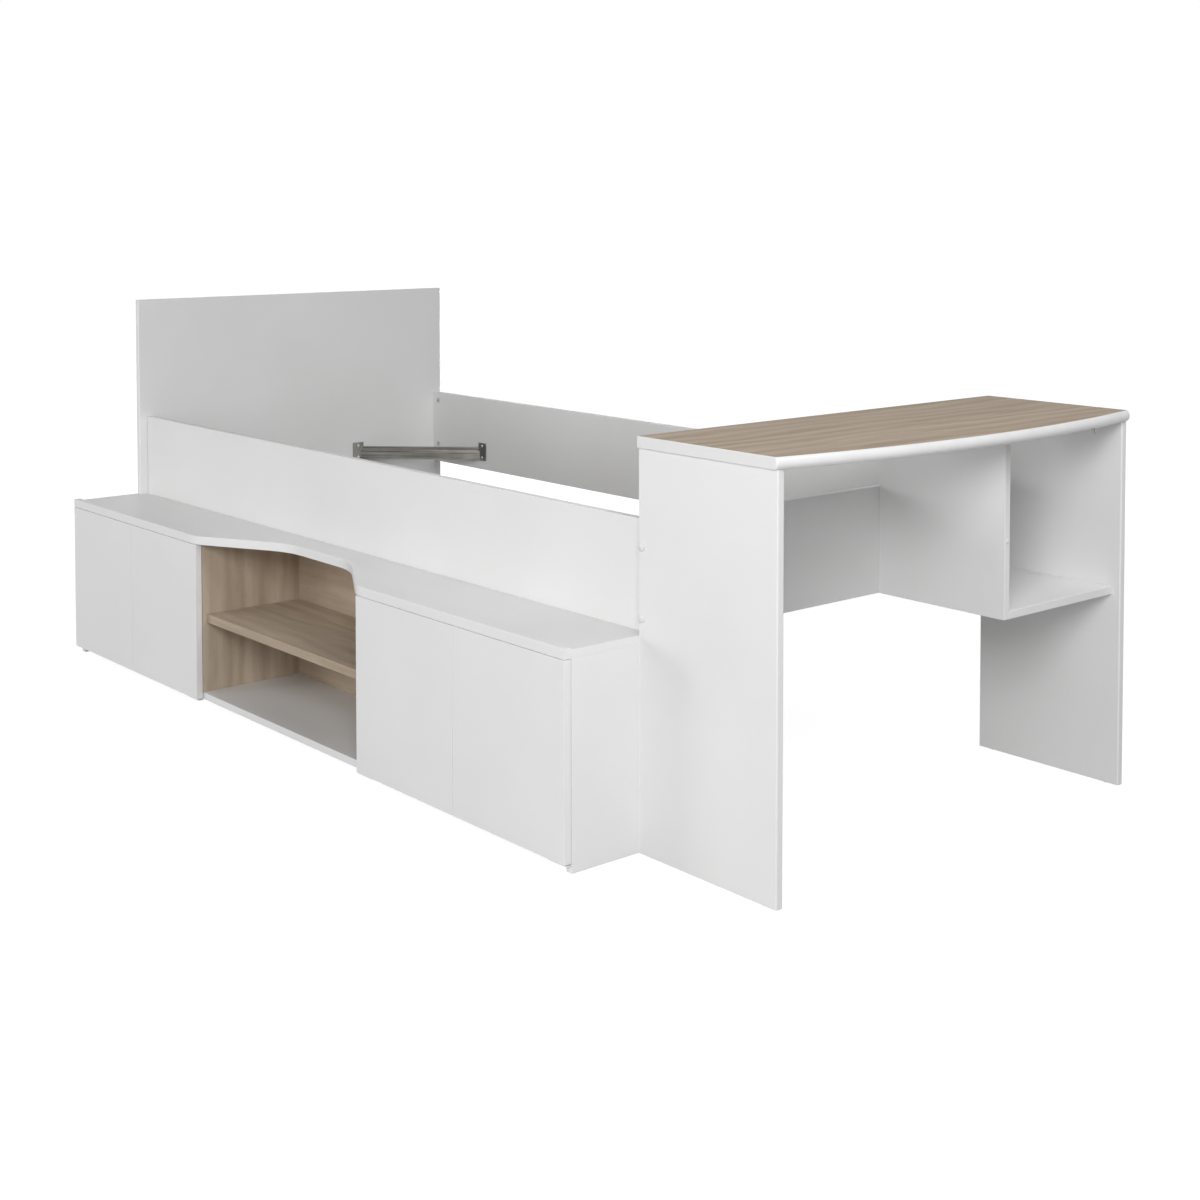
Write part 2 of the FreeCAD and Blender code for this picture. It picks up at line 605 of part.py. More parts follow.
def pivot_washer(door):
    """Slip ring between the pivot plate and the door."""
    place = pivot(door, BENCH_FLOOR_CLEARANCE)
    return rod(WASHER_RADIUS, DOOR_LIFT, place, UP).cut(rod(PIN_RADIUS + RUNNING, DOOR_LIFT, place, UP))


def latch_x(door):
    return door.hinged + door.way * (door.width - LATCH_INSET)


def latch_housing(door):
    """Push latch's case under the bench top, bored for its plunger."""
    x = latch_x(door)
    case = board(
        (x - LATCH_WIDTH / 2, LATCH_FRONT, BENCH_UNDERSIDE - LATCH_HEIGHT),
        (x + LATCH_WIDTH / 2, LATCH_FRONT + LATCH_LENGTH, BENCH_UNDERSIDE),
    )
    bore = rod(PLUNGER_RADIUS + RUNNING, LATCH_BORE, V(x, LATCH_FRONT, LATCH_AXIS), V(0, 1, 0))
    return case.cut(bore)


def latch_screws(door):
    """Two screws that hold one latch to the bench top."""
    room = LATCH_LENGTH - LATCH_BORE
    shank = LATCH_HEIGHT + SCREW_LENGTH - SCREW_HEAD
    screws = []
    for share in FIXING_SHARES:
        y = LATCH_FRONT + LATCH_BORE + room * share
        seat = V(latch_x(door), y, BENCH_UNDERSIDE - LATCH_HEIGHT)
        screws.append(headed(seat, UP, SCREW_HEAD_RADIUS, SCREW_HEAD, SCREW_RADIUS, shank))
    return screws


def latch_plunger(door):
    """Sprung plunger whose rounded tip stands against the door's strike."""
    tip = DOOR_BACK + STRIKE_THICKNESS + SEAT_GAP
    length = LATCH_FRONT + PLUNGER_IN_HOUSING - tip
    shaft = rod(PLUNGER_RADIUS, length, V(latch_x(door), tip, LATCH_AXIS), V(0, 1, 0))
    nose = [edge for edge in shaft.Edges if edge.BoundBox.YMax < tip + PLUNGER_TIP_RADIUS]
    return shaft.makeFillet(PLUNGER_TIP_RADIUS, nose)


def strike(door):
    """Steel disc on the door's back, opposite the plunger."""
    return rod(STRIKE_RADIUS, STRIKE_THICKNESS, V(latch_x(door), DOOR_BACK, LATCH_AXIS), V(0, 1, 0))


# Desktop and bench top

def desktop_board():
    """Desktop with a bowed front edge, without its nosing."""
    left = -DESKTOP_SIDE_LIP
    right = DESK_WIDTH + DESKTOP_SIDE_LIP
    corners = ((DESKTOP_SIDE_DEPTH, left), (0, left), (0, right), (DESKTOP_SIDE_DEPTH, right))
    points = [V(x, y, DESK_UNDERSIDE) for x, y in corners]
    crown = V(DESK_CROWN, DESK_WIDTH / 2, DESK_UNDERSIDE)
    edges = straight_path(points)
    edges.append(Part.Arc(points[-1], crown, points[0]).toShape())
    shape = slab(edges, DESKTOP_THICKNESS)
    sides = [edge for edge in shape.Edges if edge.BoundBox.YLength < EDGE_RADIUS and not upright(edge)]
    return shape.makeFillet(DESKTOP_EASE, sides)


def desktop_nosing():
    """Rounded edge strip along the bowed front."""
    middle = DESK_WIDTH / 2
    half_chord = middle + DESKTOP_SIDE_LIP
    radius = (half_chord ** 2 + DESKTOP_BOW ** 2) / (2 * DESKTOP_BOW)
    centre = V(DESK_CROWN - radius, middle, 0)
    low = V(DESK_CROWN, middle, DESK_UNDERSIDE)
    high = V(DESK_CROWN, middle, DESK_HEIGHT)
    nose = V(DESK_CROWN + NOSING, middle, DESK_UNDERSIDE + DESKTOP_THICKNESS / 2)
    section = Part.Wire([Part.LineSegment(high, low).toShape(), Part.Arc(low, nose, high).toShape()])
    sweep = math.degrees(math.asin((half_chord + NOSING) / radius))
    strip = Part.Face(section).rotate(centre, UP, -sweep).revolve(centre, UP, 2 * sweep)
    room = block(
        (0, middle - half_chord, DESK_UNDERSIDE - OVERRUN),
        (DESK_CROWN + NOSING + OVERRUN, middle + half_chord, DESK_HEIGHT + OVERRUN),
    )
    strip = strip.common(room).Solids[0]
    ends = [face for face in strip.Faces if face.BoundBox.YLength < EDGE_RADIUS]
    curved = [edge for face in ends for edge in face.Edges if edge.BoundBox.XLength > NOSING / 2]
    return strip.makeFillet(NOSING_END_RADIUS, curved)


def bench_outline(z):
    """Bench top's outline, cut back in a soft curve above the niche and square round the headboard."""
    notch_back = DOOR_FRONT + NOTCH_DEPTH
    middle = (NICHE_LEFT + NICHE_RIGHT) / 2 + NOTCH_OFFSET
    front = rounded_path((
        V(HEAD_BACK, DOOR_FRONT, z), V(NICHE_LEFT, DOOR_FRONT, z),
        V(middle - NOTCH_FLAT / 2, notch_back, z), V(middle + NOTCH_FLAT / 2, notch_back, z),
        V(NICHE_RIGHT, DOOR_FRONT, z), V(0, DOOR_FRONT, z),
    ), (NOTCH_RADIUS, NOTCH_BACK_RADIUS, NOTCH_BACK_RADIUS, NOTCH_RADIUS))
    rest = straight_path((
        V(0, DOOR_FRONT, z), V(0, BENCH_BACK, z), V(HEAD_FACE, BENCH_BACK, z),
        V(HEAD_FACE, HEAD_LEFT, z), V(HEAD_BACK, HEAD_LEFT, z), V(HEAD_BACK, DOOR_FRONT, z),
    ))
    return front + rest


def at_lip_foot(edge):
    """True for an inner corner between the bench top's face and its raised edge."""
    box = edge.BoundBox
    return box.YMax < HEAD_LEFT - EDGE_RADIUS and abs(box.ZMin - BENCH_HEIGHT) < EDGE_RADIUS


def bench_top():
    """Top of the bench, with a raised edge along its front."""
    base = slab(bench_outline(BENCH_UNDERSIDE), BOARD)
    lip = slab(bench_outline(BENCH_HEIGHT), BENCH_LIP)
    behind = lip.translated(V(0, DOOR_BACK - DOOR_FRONT, 0))
    top = ease_level_rims(base.fuse(lip.cut(behind)).removeSplitter(), lambda edge: not at_lip_foot(edge))
    return drilled(top, [bush_seat(door) for door in DOORS])


# Main groups

def add_bed(nodes, fixings):
    """Headboard, footboard, rails and corner braces."""
    screws = {name: brace_screws(*corner) for name, corner in BRACE_CORNERS.items()}
    all_screws = [piece for group in screws.values() for piece in group]
    boards = {
        "headboard": soft_board(
            (HEAD_BACK, HEAD_LEFT, GLIDE), (HEAD_FACE, HEAD_RIGHT, HEADBOARD_HEIGHT), lambda edge: True),
        "footboard": board((0, BOARD, FOOTBOARD_BOTTOM), (BOARD, DESK_INNER_RIGHT, RAIL_TOP)),
        "front_rail": board((HEAD_FACE, FRONT_RAIL, BENCH_HEIGHT), (0, FRONT_RAIL_BACK, RAIL_TOP)),
        "rear_rail": board((HEAD_FACE, REAR_RAIL, REAR_RAIL_BOTTOM), (0, REAR_RAIL_BACK, RAIL_TOP)),
    }
    for name, shape in boards.items():
        nodes[name] = drilled(shape, fixings, all_screws)
    for name, corner in BRACE_CORNERS.items():
        nodes["brace_" + name] = drilled(brace(*corner), screws[name])
    nodes["brace_screws"] = Part.makeCompound(all_screws)


def add_desk(nodes, fixings):
    """Desk's side panels, desktop, nosing, divider and cubby shelf."""
    for name, y in (("desk_left_panel", 0.0), ("desk_right_panel", DESK_INNER_RIGHT)):
        panel = soft_board(
            (0, y, GLIDE), (DESK_PANEL_DEPTH, y + BOARD, DESK_UNDERSIDE),
            lambda edge: edge.BoundBox.XMin > DESK_PANEL_DEPTH / 2)
        nodes[name] = drilled(panel, fixings)
    divider = board((DESK_BACK, DIVIDER, FOOTBOARD_BOTTOM), (DIVIDER_FRONT, DIVIDER_RIGHT, DESK_UNDERSIDE))
    shelf = board(
        (DESK_BACK, DIVIDER_RIGHT, FOOTBOARD_BOTTOM),
        (DIVIDER_FRONT, DESK_INNER_RIGHT, FOOTBOARD_BOTTOM + BOARD))
    nodes["divider"] = drilled(divider, fixings)
    nodes["cubby_shelf"] = drilled(shelf, fixings)
    nodes["desktop"] = drilled(desktop_board(), fixings)
    nodes["desktop_nosing"] = desktop_nosing()
    cap_place = V(DIVIDER_FRONT, DIVIDER + BOARD / 2, FOOTBOARD_BOTTOM + DIVIDER_CAP_RISE)
    nodes["divider_cap"] = dome(
        cap_place, V(1, 0, 0), DIVIDER_CAP_RADIUS, DIVIDER_CAP_RIM, DIVIDER_CAP_HEIGHT)


def add_bench(nodes, fixings):
    """Carcass of the bench: top, floor, sides, niche walls, shelf and back sheets."""
    feet = levelling_feet()
    pins = shelf_pins()
    under_floor = [piece for door in DOORS for piece in plate_screws(door)]
    under_top = [piece for door in DOORS for piece in latch_screws(door)]
    floor = board(
        (HEAD_FACE, CARCASS_FRONT, BENCH_FLOOR_CLEARANCE), (-BOARD, BENCH_BACK, BENCH_FLOOR))
    nodes["bench_top"] = drilled(bench_top(), fixings, under_top)
    nodes["bench_floor"] = drilled(floor, fixings, feet, under_floor)
    left_side = board((HEAD_BACK, CARCASS_FRONT, GLIDE), (HEAD_FACE, HEAD_LEFT, BENCH_UNDERSIDE))
    right_side = board((-BOARD, CARCASS_FRONT, GLIDE), (0, BENCH_BACK, BENCH_UNDERSIDE))
    nodes["bench_left_side"] = drilled(left_side, fixings)
    nodes["bench_right_side"] = drilled(right_side, fixings)
    for name, x in (("niche_left_wall", NICHE_LEFT - BOARD), ("niche_right_wall", NICHE_RIGHT)):
        wall = board((x, CARCASS_FRONT, BENCH_FLOOR), (x + BOARD, BENCH_BACK, BENCH_UNDERSIDE))
        nodes[name] = drilled(wall, fixings, pins)
    nodes["niche_shelf"] = board(
        (NICHE_LEFT + SHELF_PLAY, CARCASS_FRONT + SHELF_SETBACK, SHELF_HEIGHT - SHELF_BOARD),
        (NICHE_RIGHT - SHELF_PLAY, BENCH_BACK - SHELF_PLAY, SHELF_HEIGHT))
    backs = ("left_cupboard_back", "niche_back", "right_cupboard_back")
    joins = (HEAD_FACE, NICHE_LEFT - BOARD / 2, NICHE_RIGHT + BOARD / 2, 0.0)
    for name, left, right in zip(backs, joins, joins[1:]):
        nodes[name] = block(
            (left + SEAT_GAP, BENCH_BACK, BENCH_FLOOR_CLEARANCE),
            (right - SEAT_GAP, BENCH_BACK + BACK_SHEET, BENCH_HEIGHT - BOARD / 2))
    nodes["shelf_pins"] = Part.makeCompound(pins)
    nodes["levelling_feet"] = Part.makeCompound(feet)
    nodes["pivot_plate_screws"] = Part.makeCompound(under_floor)
    nodes["latch_screws"] = Part.makeCompound(under_top)


def add_doors(nodes):
    """Four doors with their pivots and push latches."""
    for door in DOORS:
        pins = pivot_pins(door)
        nodes[door.name + "_door"] = drilled(door_board(door), pins)
        nodes[door.name + "_pins"] = Part.makeCompound(pins)
        nodes[door.name + "_strike"] = strike(door)
        nodes[door.name + "_plunger"] = latch_plunger(door)
    plates = [drilled(pivot_plate(door), plate_screws(door)) for door in DOORS]
    housings = [drilled(latch_housing(door), latch_screws(door)) for door in DOORS]
    nodes["pivot_plates"] = Part.makeCompound(plates)
    nodes["latch_housings"] = Part.makeCompound(housings)
    nodes["pivot_bushes"] = Part.makeCompound([pivot_bush(door) for door in DOORS])
    nodes["pivot_washers"] = Part.makeCompound([pivot_washer(door) for door in DOORS])


def main():
    rail_cams, rail_dowels = rail_joints()
    desk_cams, desk_dowels = desk_joints()
    cams = rail_cams + desk_cams
    dowels = rail_dowels + desk_dowels + bench_dowels()
    bolts, caps = footboard_bolts()
    nails = glides()
    cam_bolts = [cam.bolt for cam in cams]
    fixings = cam_bolts + [cam_body(cam) for cam in cams] + dowels + bolts + nails
    nodes = {
        "cam_locks": Part.makeCompound([cam_lock(cam) for cam in cams]),
        "cam_bolts": Part.makeCompound(cam_bolts),
        "dowels": Part.makeCompound(dowels),
        "footboard_bolts": Part.makeCompound(bolts),
        "panel_glides": Part.makeCompound(nails),
        **caps,
    }
    add_bed(nodes, fixings)
    add_desk(nodes, fixings)
    add_bench(nodes, fixings)
    add_doors(nodes)
    os.makedirs("parts", exist_ok=True)
    for name, shape in nodes.items():
        shape.translate(ORIGIN * -1)
        shape.exportStep(os.path.join("parts", name + ".step"))
    print(len(nodes), "pieces written")


main()
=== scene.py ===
"""Looks of the cabin bed: finishes for its boards and fittings, its screws and cam locks, and the stage.

Lengths are metres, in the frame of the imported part: X from the headboard to the desk, Y from the
bench to the wall side, Z up from the floor.
"""
import json
import math

import bpy
from mathutils import Matrix, Vector


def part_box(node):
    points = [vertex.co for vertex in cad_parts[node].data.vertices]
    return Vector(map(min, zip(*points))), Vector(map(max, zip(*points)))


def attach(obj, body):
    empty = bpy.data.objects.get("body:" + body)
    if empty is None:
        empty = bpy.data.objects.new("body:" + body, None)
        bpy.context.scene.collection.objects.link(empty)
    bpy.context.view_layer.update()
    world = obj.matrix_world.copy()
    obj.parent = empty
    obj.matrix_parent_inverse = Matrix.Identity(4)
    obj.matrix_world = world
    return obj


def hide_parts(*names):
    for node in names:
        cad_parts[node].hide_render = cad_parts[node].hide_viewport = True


bl_info = {
    "name": "Cabin bed looks",
    "version": (1, 0, 0),
    "blender": (4, 5, 0),
    "location": "View3D > Sidebar > Cabin bed",
    "description": "Finishes, fittings and stage of the cabin bed",
    "category": "Object",
}

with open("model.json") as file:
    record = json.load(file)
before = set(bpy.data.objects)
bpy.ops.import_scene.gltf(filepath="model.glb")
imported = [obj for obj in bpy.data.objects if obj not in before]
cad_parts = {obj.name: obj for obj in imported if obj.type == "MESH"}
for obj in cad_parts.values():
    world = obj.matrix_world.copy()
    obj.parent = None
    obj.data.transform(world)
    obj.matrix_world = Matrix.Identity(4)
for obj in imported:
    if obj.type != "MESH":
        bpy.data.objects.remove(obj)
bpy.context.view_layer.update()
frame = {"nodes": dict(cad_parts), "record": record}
NODES = frame["nodes"]
SLOT_OF = {row["node"]: row["material_slot"] for row in frame["record"]["subparts"]}

# Ways that the grain of an oak board runs, as turns that bring it onto the X axis
ALONG_X = (0.0, 0.0, 0.0)
ALONG_Y = (0.0, 0.0, -math.pi / 2)
ALONG_Z = (0.0, math.pi / 2, 0.0)
OAK_GRAIN = {
    "desktop": ALONG_Y,
    "niche_shelf": ALONG_X,
    "niche_back": ALONG_X,
    "niche_left_wall": ALONG_Z,
    "niche_right_wall": ALONG_Z,
}
# Each oak board shows another stretch of the grain
GRAIN_STEP = (1.7, 0.41, 0.23)
DESKTOP_GRAIN_SHIFT = (0.37, 0.11, 0.0)
# How far below the desktop's top a point still counts as on its upper face
UPPER_FACE_DEPTH = 0.00005

# A corner brace's bar runs between the near edges of its two end plates
PLATE_WIDTH = 0.035


def brace_slope():
    """Angle between a corner brace's bar and the rail."""
    low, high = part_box("brace_head_front")
    return math.atan2(high.y - low.y - PLATE_WIDTH, high.x - low.x - PLATE_WIDTH)


# Turns that bring a corner brace's bar onto the X axis
BRACE_SLOPE = brace_slope()
BRACE_TURNS = {
    "brace_head_front": BRACE_SLOPE,
    "brace_foot_rear": BRACE_SLOPE,
    "brace_head_rear": -BRACE_SLOPE,
    "brace_foot_front": -BRACE_SLOPE,
}

# Texture sizes as repeats in a metre; three numbers are along the X, Y and Z of the turned board
WHITE_CLOUDS = 3.2
OAK_STREAKS = (0.9, 26.0, 26.0)
OAK_BROAD_BANDS = (0.7, 6.5, 6.5)
OAK_FIGURE = (0.32, 1.0, 1.0)
OAK_PORES = (55.0, 950.0, 950.0)
BRUSH_LINES = (6.0, 420.0, 420.0)
STEEL_SMUDGES = 22.0
ZINC_CRYSTALS = 420.0
ZINC_MOTTLE = 160.0
PLASTIC_CLOUDS = 30.0
PLASTIC_GRAIN = 1800.0
BEECH_FLECKS = (900.0, 900.0, 90.0)
BEECH_CLOUDS = 40.0

# Figure of the oak: wavy bands across the grain
FIGURE_WAVE = {
    "Scale": 7.0, "Distortion": 7.5, "Detail": 3.0, "Detail Scale": 1.4, "Detail Roughness": 0.55,
}

# Stretch of a noise's values that is spread over a whole range of colour or roughness
NOISE_CORE = (0.35, 0.65)
NOISE_SPAN = (0.3, 0.7)
OAK_TONES = (0.36, 0.64)
PORE_TONES = (0.60, 0.74)
ZINC_TONES = (0.2, 0.8)

# Parts that several textures have in one tone
STREAK_SHARE, BAND_SHARE, FIGURE_SHARE = 0.55, 0.33, 0.12
LINE_SHARE, SMUDGE_SHARE = 0.7, 0.3
CRYSTAL_SHARE, MOTTLE_SHARE = 0.4, 0.6
FLECK_SHARE, BEECH_CLOUD_SHARE = 0.6, 0.4
PORE_SHARE = 0.55
STREAK_RELIEF_SHARE = 0.3
PLASTIC_SHADE_SHARE = 0.95

# Roughness at the two ends of a texture
WHITE_ROUGHNESS = (0.36, 0.46)
OAK_ROUGHNESS = (0.56, 0.46)
STEEL_ROUGHNESS = (0.28, 0.44)
ZINC_ROUGHNESS = (0.24, 0.42)
CAP_ROUGHNESS = (0.34, 0.46)
EDGING_ROUGHNESS = (0.30, 0.40)
GREY_PLASTIC_ROUGHNESS = (0.45, 0.6)
BEECH_ROUGHNESS = (0.5, 0.65)
# Oak-look faces are matte
OAK_SPECULAR = 0.02

# Strength and height of each surface's relief
WHITE_RELIEF = (0.08, 0.0002)
OAK_RELIEF = (0.25, 0.0003)
STEEL_RELIEF = (0.12, 0.0001)
ZINC_RELIEF = (0.06, 0.0001)
PLASTIC_RELIEF = (0.10, 0.0001)
BEECH_RELIEF = (0.15, 0.0002)

# Numbers of a Mix node's factor, its two values and its result, whose names repeat for each kind
MIX_SOCKETS = {"RGBA": (0, 6, 7, 2), "FLOAT": (0, 2, 3, 0)}

# Screw heads and cam locks: facets, and cuts as shares of the head's or lock's radius unless named otherwise
SCREW_SIDES = 40
CAM_SIDES = 48
RIM_SEGMENTS = 4
SMOOTH_ANGLE = math.radians(35)
CROSS_TURNS = (0.0, math.pi / 2)
SLOT_WIDTH_SHARE = 0.24
SLOT_FOOT_SHARE = 0.75
SCREW_SLOT_LENGTH_SHARE = 1.15
SCREW_RIM_HEIGHT_SHARE = 0.55
SCREW_SLOT_HEIGHT_SHARE = 0.6
CAM_SLOT_LENGTH_SHARE = 1.2
CAM_SLOT_DEPTH_SHARE = 0.3
CAM_RIM_SHARE = 0.14
CAM_SINK_PROUD_SHARE = 0.4
# A face counts as level from this upright share of its normal, and as at a height within this distance
LEVEL_SHARE = 0.9
HEIGHT_TOLERANCE = 1e-6

# Each lamp's place, the point that it faces, and its width and height
LAMPS = {
    "front": ((-0.6, -4.6, 0.7), (-0.4, 0.0, 0.4), (4.5, 1.4)),
    "left": ((-2.6, -4.2, 1.2), (-1.0, 0.0, 0.4), (2.0, 1.6)),
    "desk": ((3.0, 0.2, 3.6), (0.2, 0.1, 0.4), (2.4, 1.6)),
    "camera": ((3.9, -3.4, 1.4), (0.3, -0.1, 0.4), (2.4, 2.0)),
    "high": ((3.6, -3.2, 2.6), (0.2, 0.0, 0.4), (2.0, 1.6)),
    "back": ((-3.4, 3.8, 0.42), (-0.4, 0.2, 0.42), (2.6, 0.6)),
}
WHITE = (1.0, 1.0, 1.0, 1.0)


class BoardLook(bpy.types.PropertyGroup):
    """Colours and textures of the boards."""

    white: bpy.props.FloatVectorProperty(
        name="White", description="White melamine face",
        subtype="COLOR", size=3, default=(0.80, 0.80, 0.80))
    white_shade: bpy.props.FloatVectorProperty(
        name="White shade", description="Slightly greyer clouds in the white face",
        subtype="COLOR", size=3, default=(0.775, 0.775, 0.772))
    oak_light: bpy.props.FloatVectorProperty(
        name="Oak light", description="Light streaks of the oak face",
        subtype="COLOR", size=3, default=(0.535, 0.445, 0.350))
    oak_dark: bpy.props.FloatVectorProperty(
        name="Oak dark", description="Dark streaks of the oak face",
        subtype="COLOR", size=3, default=(0.395, 0.313, 0.237))
    oak_pore: bpy.props.FloatVectorProperty(
        name="Oak pores", description="Short dark pores along the grain",
        subtype="COLOR", size=3, default=(0.280, 0.210, 0.152))
    pearl_size: bpy.props.FloatProperty(
        name="Pearl size", description="Grain of the white face's pressed texture",
        default=0.0012, unit="LENGTH")


class FittingLook(bpy.types.PropertyGroup):
    """Colours of the steel, plastic and beech fittings."""

    brace_light: bpy.props.FloatVectorProperty(
        name="Brace light", description="Light brush lines of the corner braces",
        subtype="COLOR", size=3, default=(0.36, 0.35, 0.33))
    brace_dark: bpy.props.FloatVectorProperty(
        name="Brace dark", description="Dark brush lines of the corner braces",
        subtype="COLOR", size=3, default=(0.165, 0.160, 0.148))
    zinc_light: bpy.props.FloatVectorProperty(
        name="Zinc light", description="Light crystals of zinc-plated fittings",
        subtype="COLOR", size=3, default=(0.70, 0.70, 0.70))
    zinc_dark: bpy.props.FloatVectorProperty(
        name="Zinc dark", description="Dark crystals of zinc-plated fittings",
        subtype="COLOR", size=3, default=(0.48, 0.48, 0.49))
    # Cap plastic is set greyer than the white boards as painted shade: the flat grey stands in for the
    # shading round the domed bolt caps, and the glides share it
    cap: bpy.props.FloatVectorProperty(
        name="Cap", description="White plastic of the bolt caps and glides",
        subtype="COLOR", size=3, default=(0.74, 0.74, 0.74))
    edging: bpy.props.FloatVectorProperty(
        name="Edging", description="White edge strip of the desktop",
        subtype="COLOR", size=3, default=(0.82, 0.82, 0.82))
    plastic: bpy.props.FloatVectorProperty(
        name="Grey plastic", description="Levelling feet, bushes and push latches",
        subtype="COLOR", size=3, default=(0.26, 0.26, 0.26))
    beech_light: bpy.props.FloatVectorProperty(
        name="Beech light", description="Light wood of the dowels",
        subtype="COLOR", size=3, default=(0.60, 0.40, 0.22))
    beech_dark: bpy.props.FloatVectorProperty(
        name="Beech dark", description="Dark flecks of the dowels",
        subtype="COLOR", size=3, default=(0.43, 0.25, 0.12))


class FittingSizes(bpy.types.PropertyGroup):
    """Sizes of the screws and cam locks."""

    screw_head_radius: bpy.props.FloatProperty(
        name="Screw head radius", description="Radius of a brace screw's head",
        default=0.0036, unit="LENGTH")
    screw_head_height: bpy.props.FloatProperty(
        name="Screw head height", description="Height of a brace screw's head",
        default=0.0020, unit="LENGTH")
    screw_shank_radius: bpy.props.FloatProperty(
        name="Screw shank radius", description="Radius of a brace screw's shank",
        default=0.00175, unit="LENGTH")
    screw_shank_length: bpy.props.FloatProperty(
        name="Screw shank length", description="Shank below the head",
        default=0.012, unit="LENGTH")
    screw_edge_margin: bpy.props.FloatProperty(
        name="Screw edge margin", description="Screw from the plate's upper and lower edges",
        default=0.009, unit="LENGTH")
    plate_width: bpy.props.FloatProperty(
        name="Plate width", description="Width of a brace's end plate",
        default=PLATE_WIDTH, unit="LENGTH")
    plate_steel: bpy.props.FloatProperty(
        name="Plate thickness", description="Steel of a brace's end plate",
        default=0.0025, unit="LENGTH")
    cam_radius: bpy.props.FloatProperty(
        name="Cam radius", description="Radius of a cam lock",
        default=0.0075, unit="LENGTH")
    cam_length: bpy.props.FloatProperty(
        name="Cam length", description="Length of a cam lock",
        default=0.0125, unit="LENGTH")
    cam_proud: bpy.props.FloatProperty(
        name="Cam proud", description="Cam lock's face above the board",
        default=0.0006, unit="LENGTH")
    cam_from_end: bpy.props.FloatProperty(
        name="Cam from end", description="Cam lock from the end of its board",
        default=0.025, unit="LENGTH")
    cam_top_margin: bpy.props.FloatProperty(
        name="Cam below rail top", description="Upper rail cam below the rail's top",
        default=0.024, unit="LENGTH")
    cam_spacing: bpy.props.FloatProperty(
        name="Cam spacing", description="Between the two cams of a rail end",
        default=0.130, unit="LENGTH")
    cam_front_margin: bpy.props.FloatProperty(
        name="Desk cam front margin", description="Front desk cam from the upright's front edge",
        default=0.065, unit="LENGTH")
    cam_back_margin: bpy.props.FloatProperty(
        name="Desk cam back margin", description="Back desk cam from the desk's back",
        default=0.060, unit="LENGTH")


class StageLook(bpy.types.PropertyGroup):
    """Camera, floor and light."""

    camera_place: bpy.props.FloatVectorProperty(
        name="Camera place", description="Where the camera stands", subtype="XYZ", size=3,
        unit="LENGTH", default=(3.2250, -2.5283, 1.1926))
    camera_heading: bpy.props.FloatProperty(
        name="Camera heading", description="Turn of the camera round the upright axis",
        subtype="ANGLE", default=math.radians(49.611))
    camera_dip: bpy.props.FloatProperty(
        name="Camera dip", description="How far the camera looks down",
        subtype="ANGLE", default=math.radians(2.543))
    lens: bpy.props.FloatProperty(
        name="Lens", description="Focal length on a 36 mm sensor", subtype="DISTANCE_CAMERA", default=53.74)
    shift: bpy.props.FloatVectorProperty(
        name="Shift", description="Shift of the camera's picture", size=2, default=(-0.0103, -0.27))
    floor_size: bpy.props.FloatProperty(
        name="Floor size", description="Side of the floor", default=60.0, unit="LENGTH")
    floor_drop: bpy.props.FloatProperty(
        name="Floor drop", description="Floor below the feet, so that the faces don't fight",
        default=0.0004, unit="LENGTH")
    floor_pale: bpy.props.FloatVectorProperty(
        name="Floor", description="Floor as it throws light back at the bed",
        subtype="COLOR", size=3, default=(0.40, 0.40, 0.40))
    floor_shadowed: bpy.props.FloatVectorProperty(
        name="Floor shadow", description="Part of the seen floor that shadows take away",
        subtype="COLOR", size=3, default=(0.30, 0.30, 0.30))
    glow_near: bpy.props.FloatProperty(
        name="Glow near", description="Floor's own glow close to the bed", default=0.90)
    glow_far: bpy.props.FloatProperty(
        name="Glow far", description="Floor's own glow far out", default=1.0)
    glow_start: bpy.props.FloatProperty(
        name="Glow start", description="Distance at which the glow begins to rise",
        default=1.5, unit="LENGTH")
    glow_end: bpy.props.FloatProperty(
        name="Glow end", description="Distance at which the glow is full", default=3.5, unit="LENGTH")
    ambient: bpy.props.FloatProperty(name="Ambient", description="Light from all around", default=0.12)
    front_power: bpy.props.FloatProperty(
        name="Front lamp", description="Low lamp in front of the bench", unit="POWER", default=32.0)
    left_power: bpy.props.FloatProperty(
        name="Left lamp", description="Lamp in front of the bench's left end", unit="POWER", default=44.0)
    desk_power: bpy.props.FloatProperty(
        name="Desk lamp", description="High lamp beyond the desk", unit="POWER", default=57.0)
    camera_power: bpy.props.FloatProperty(
        name="Camera lamp", description="Lamp beside the camera", unit="POWER", default=32.0)
    high_power: bpy.props.FloatProperty(
        name="High lamp", description="Lamp above the camera", unit="POWER", default=110.0)
    back_power: bpy.props.FloatProperty(
        name="Back lamp", description="Low lamp behind the bed, for its back", unit="POWER", default=125.0)


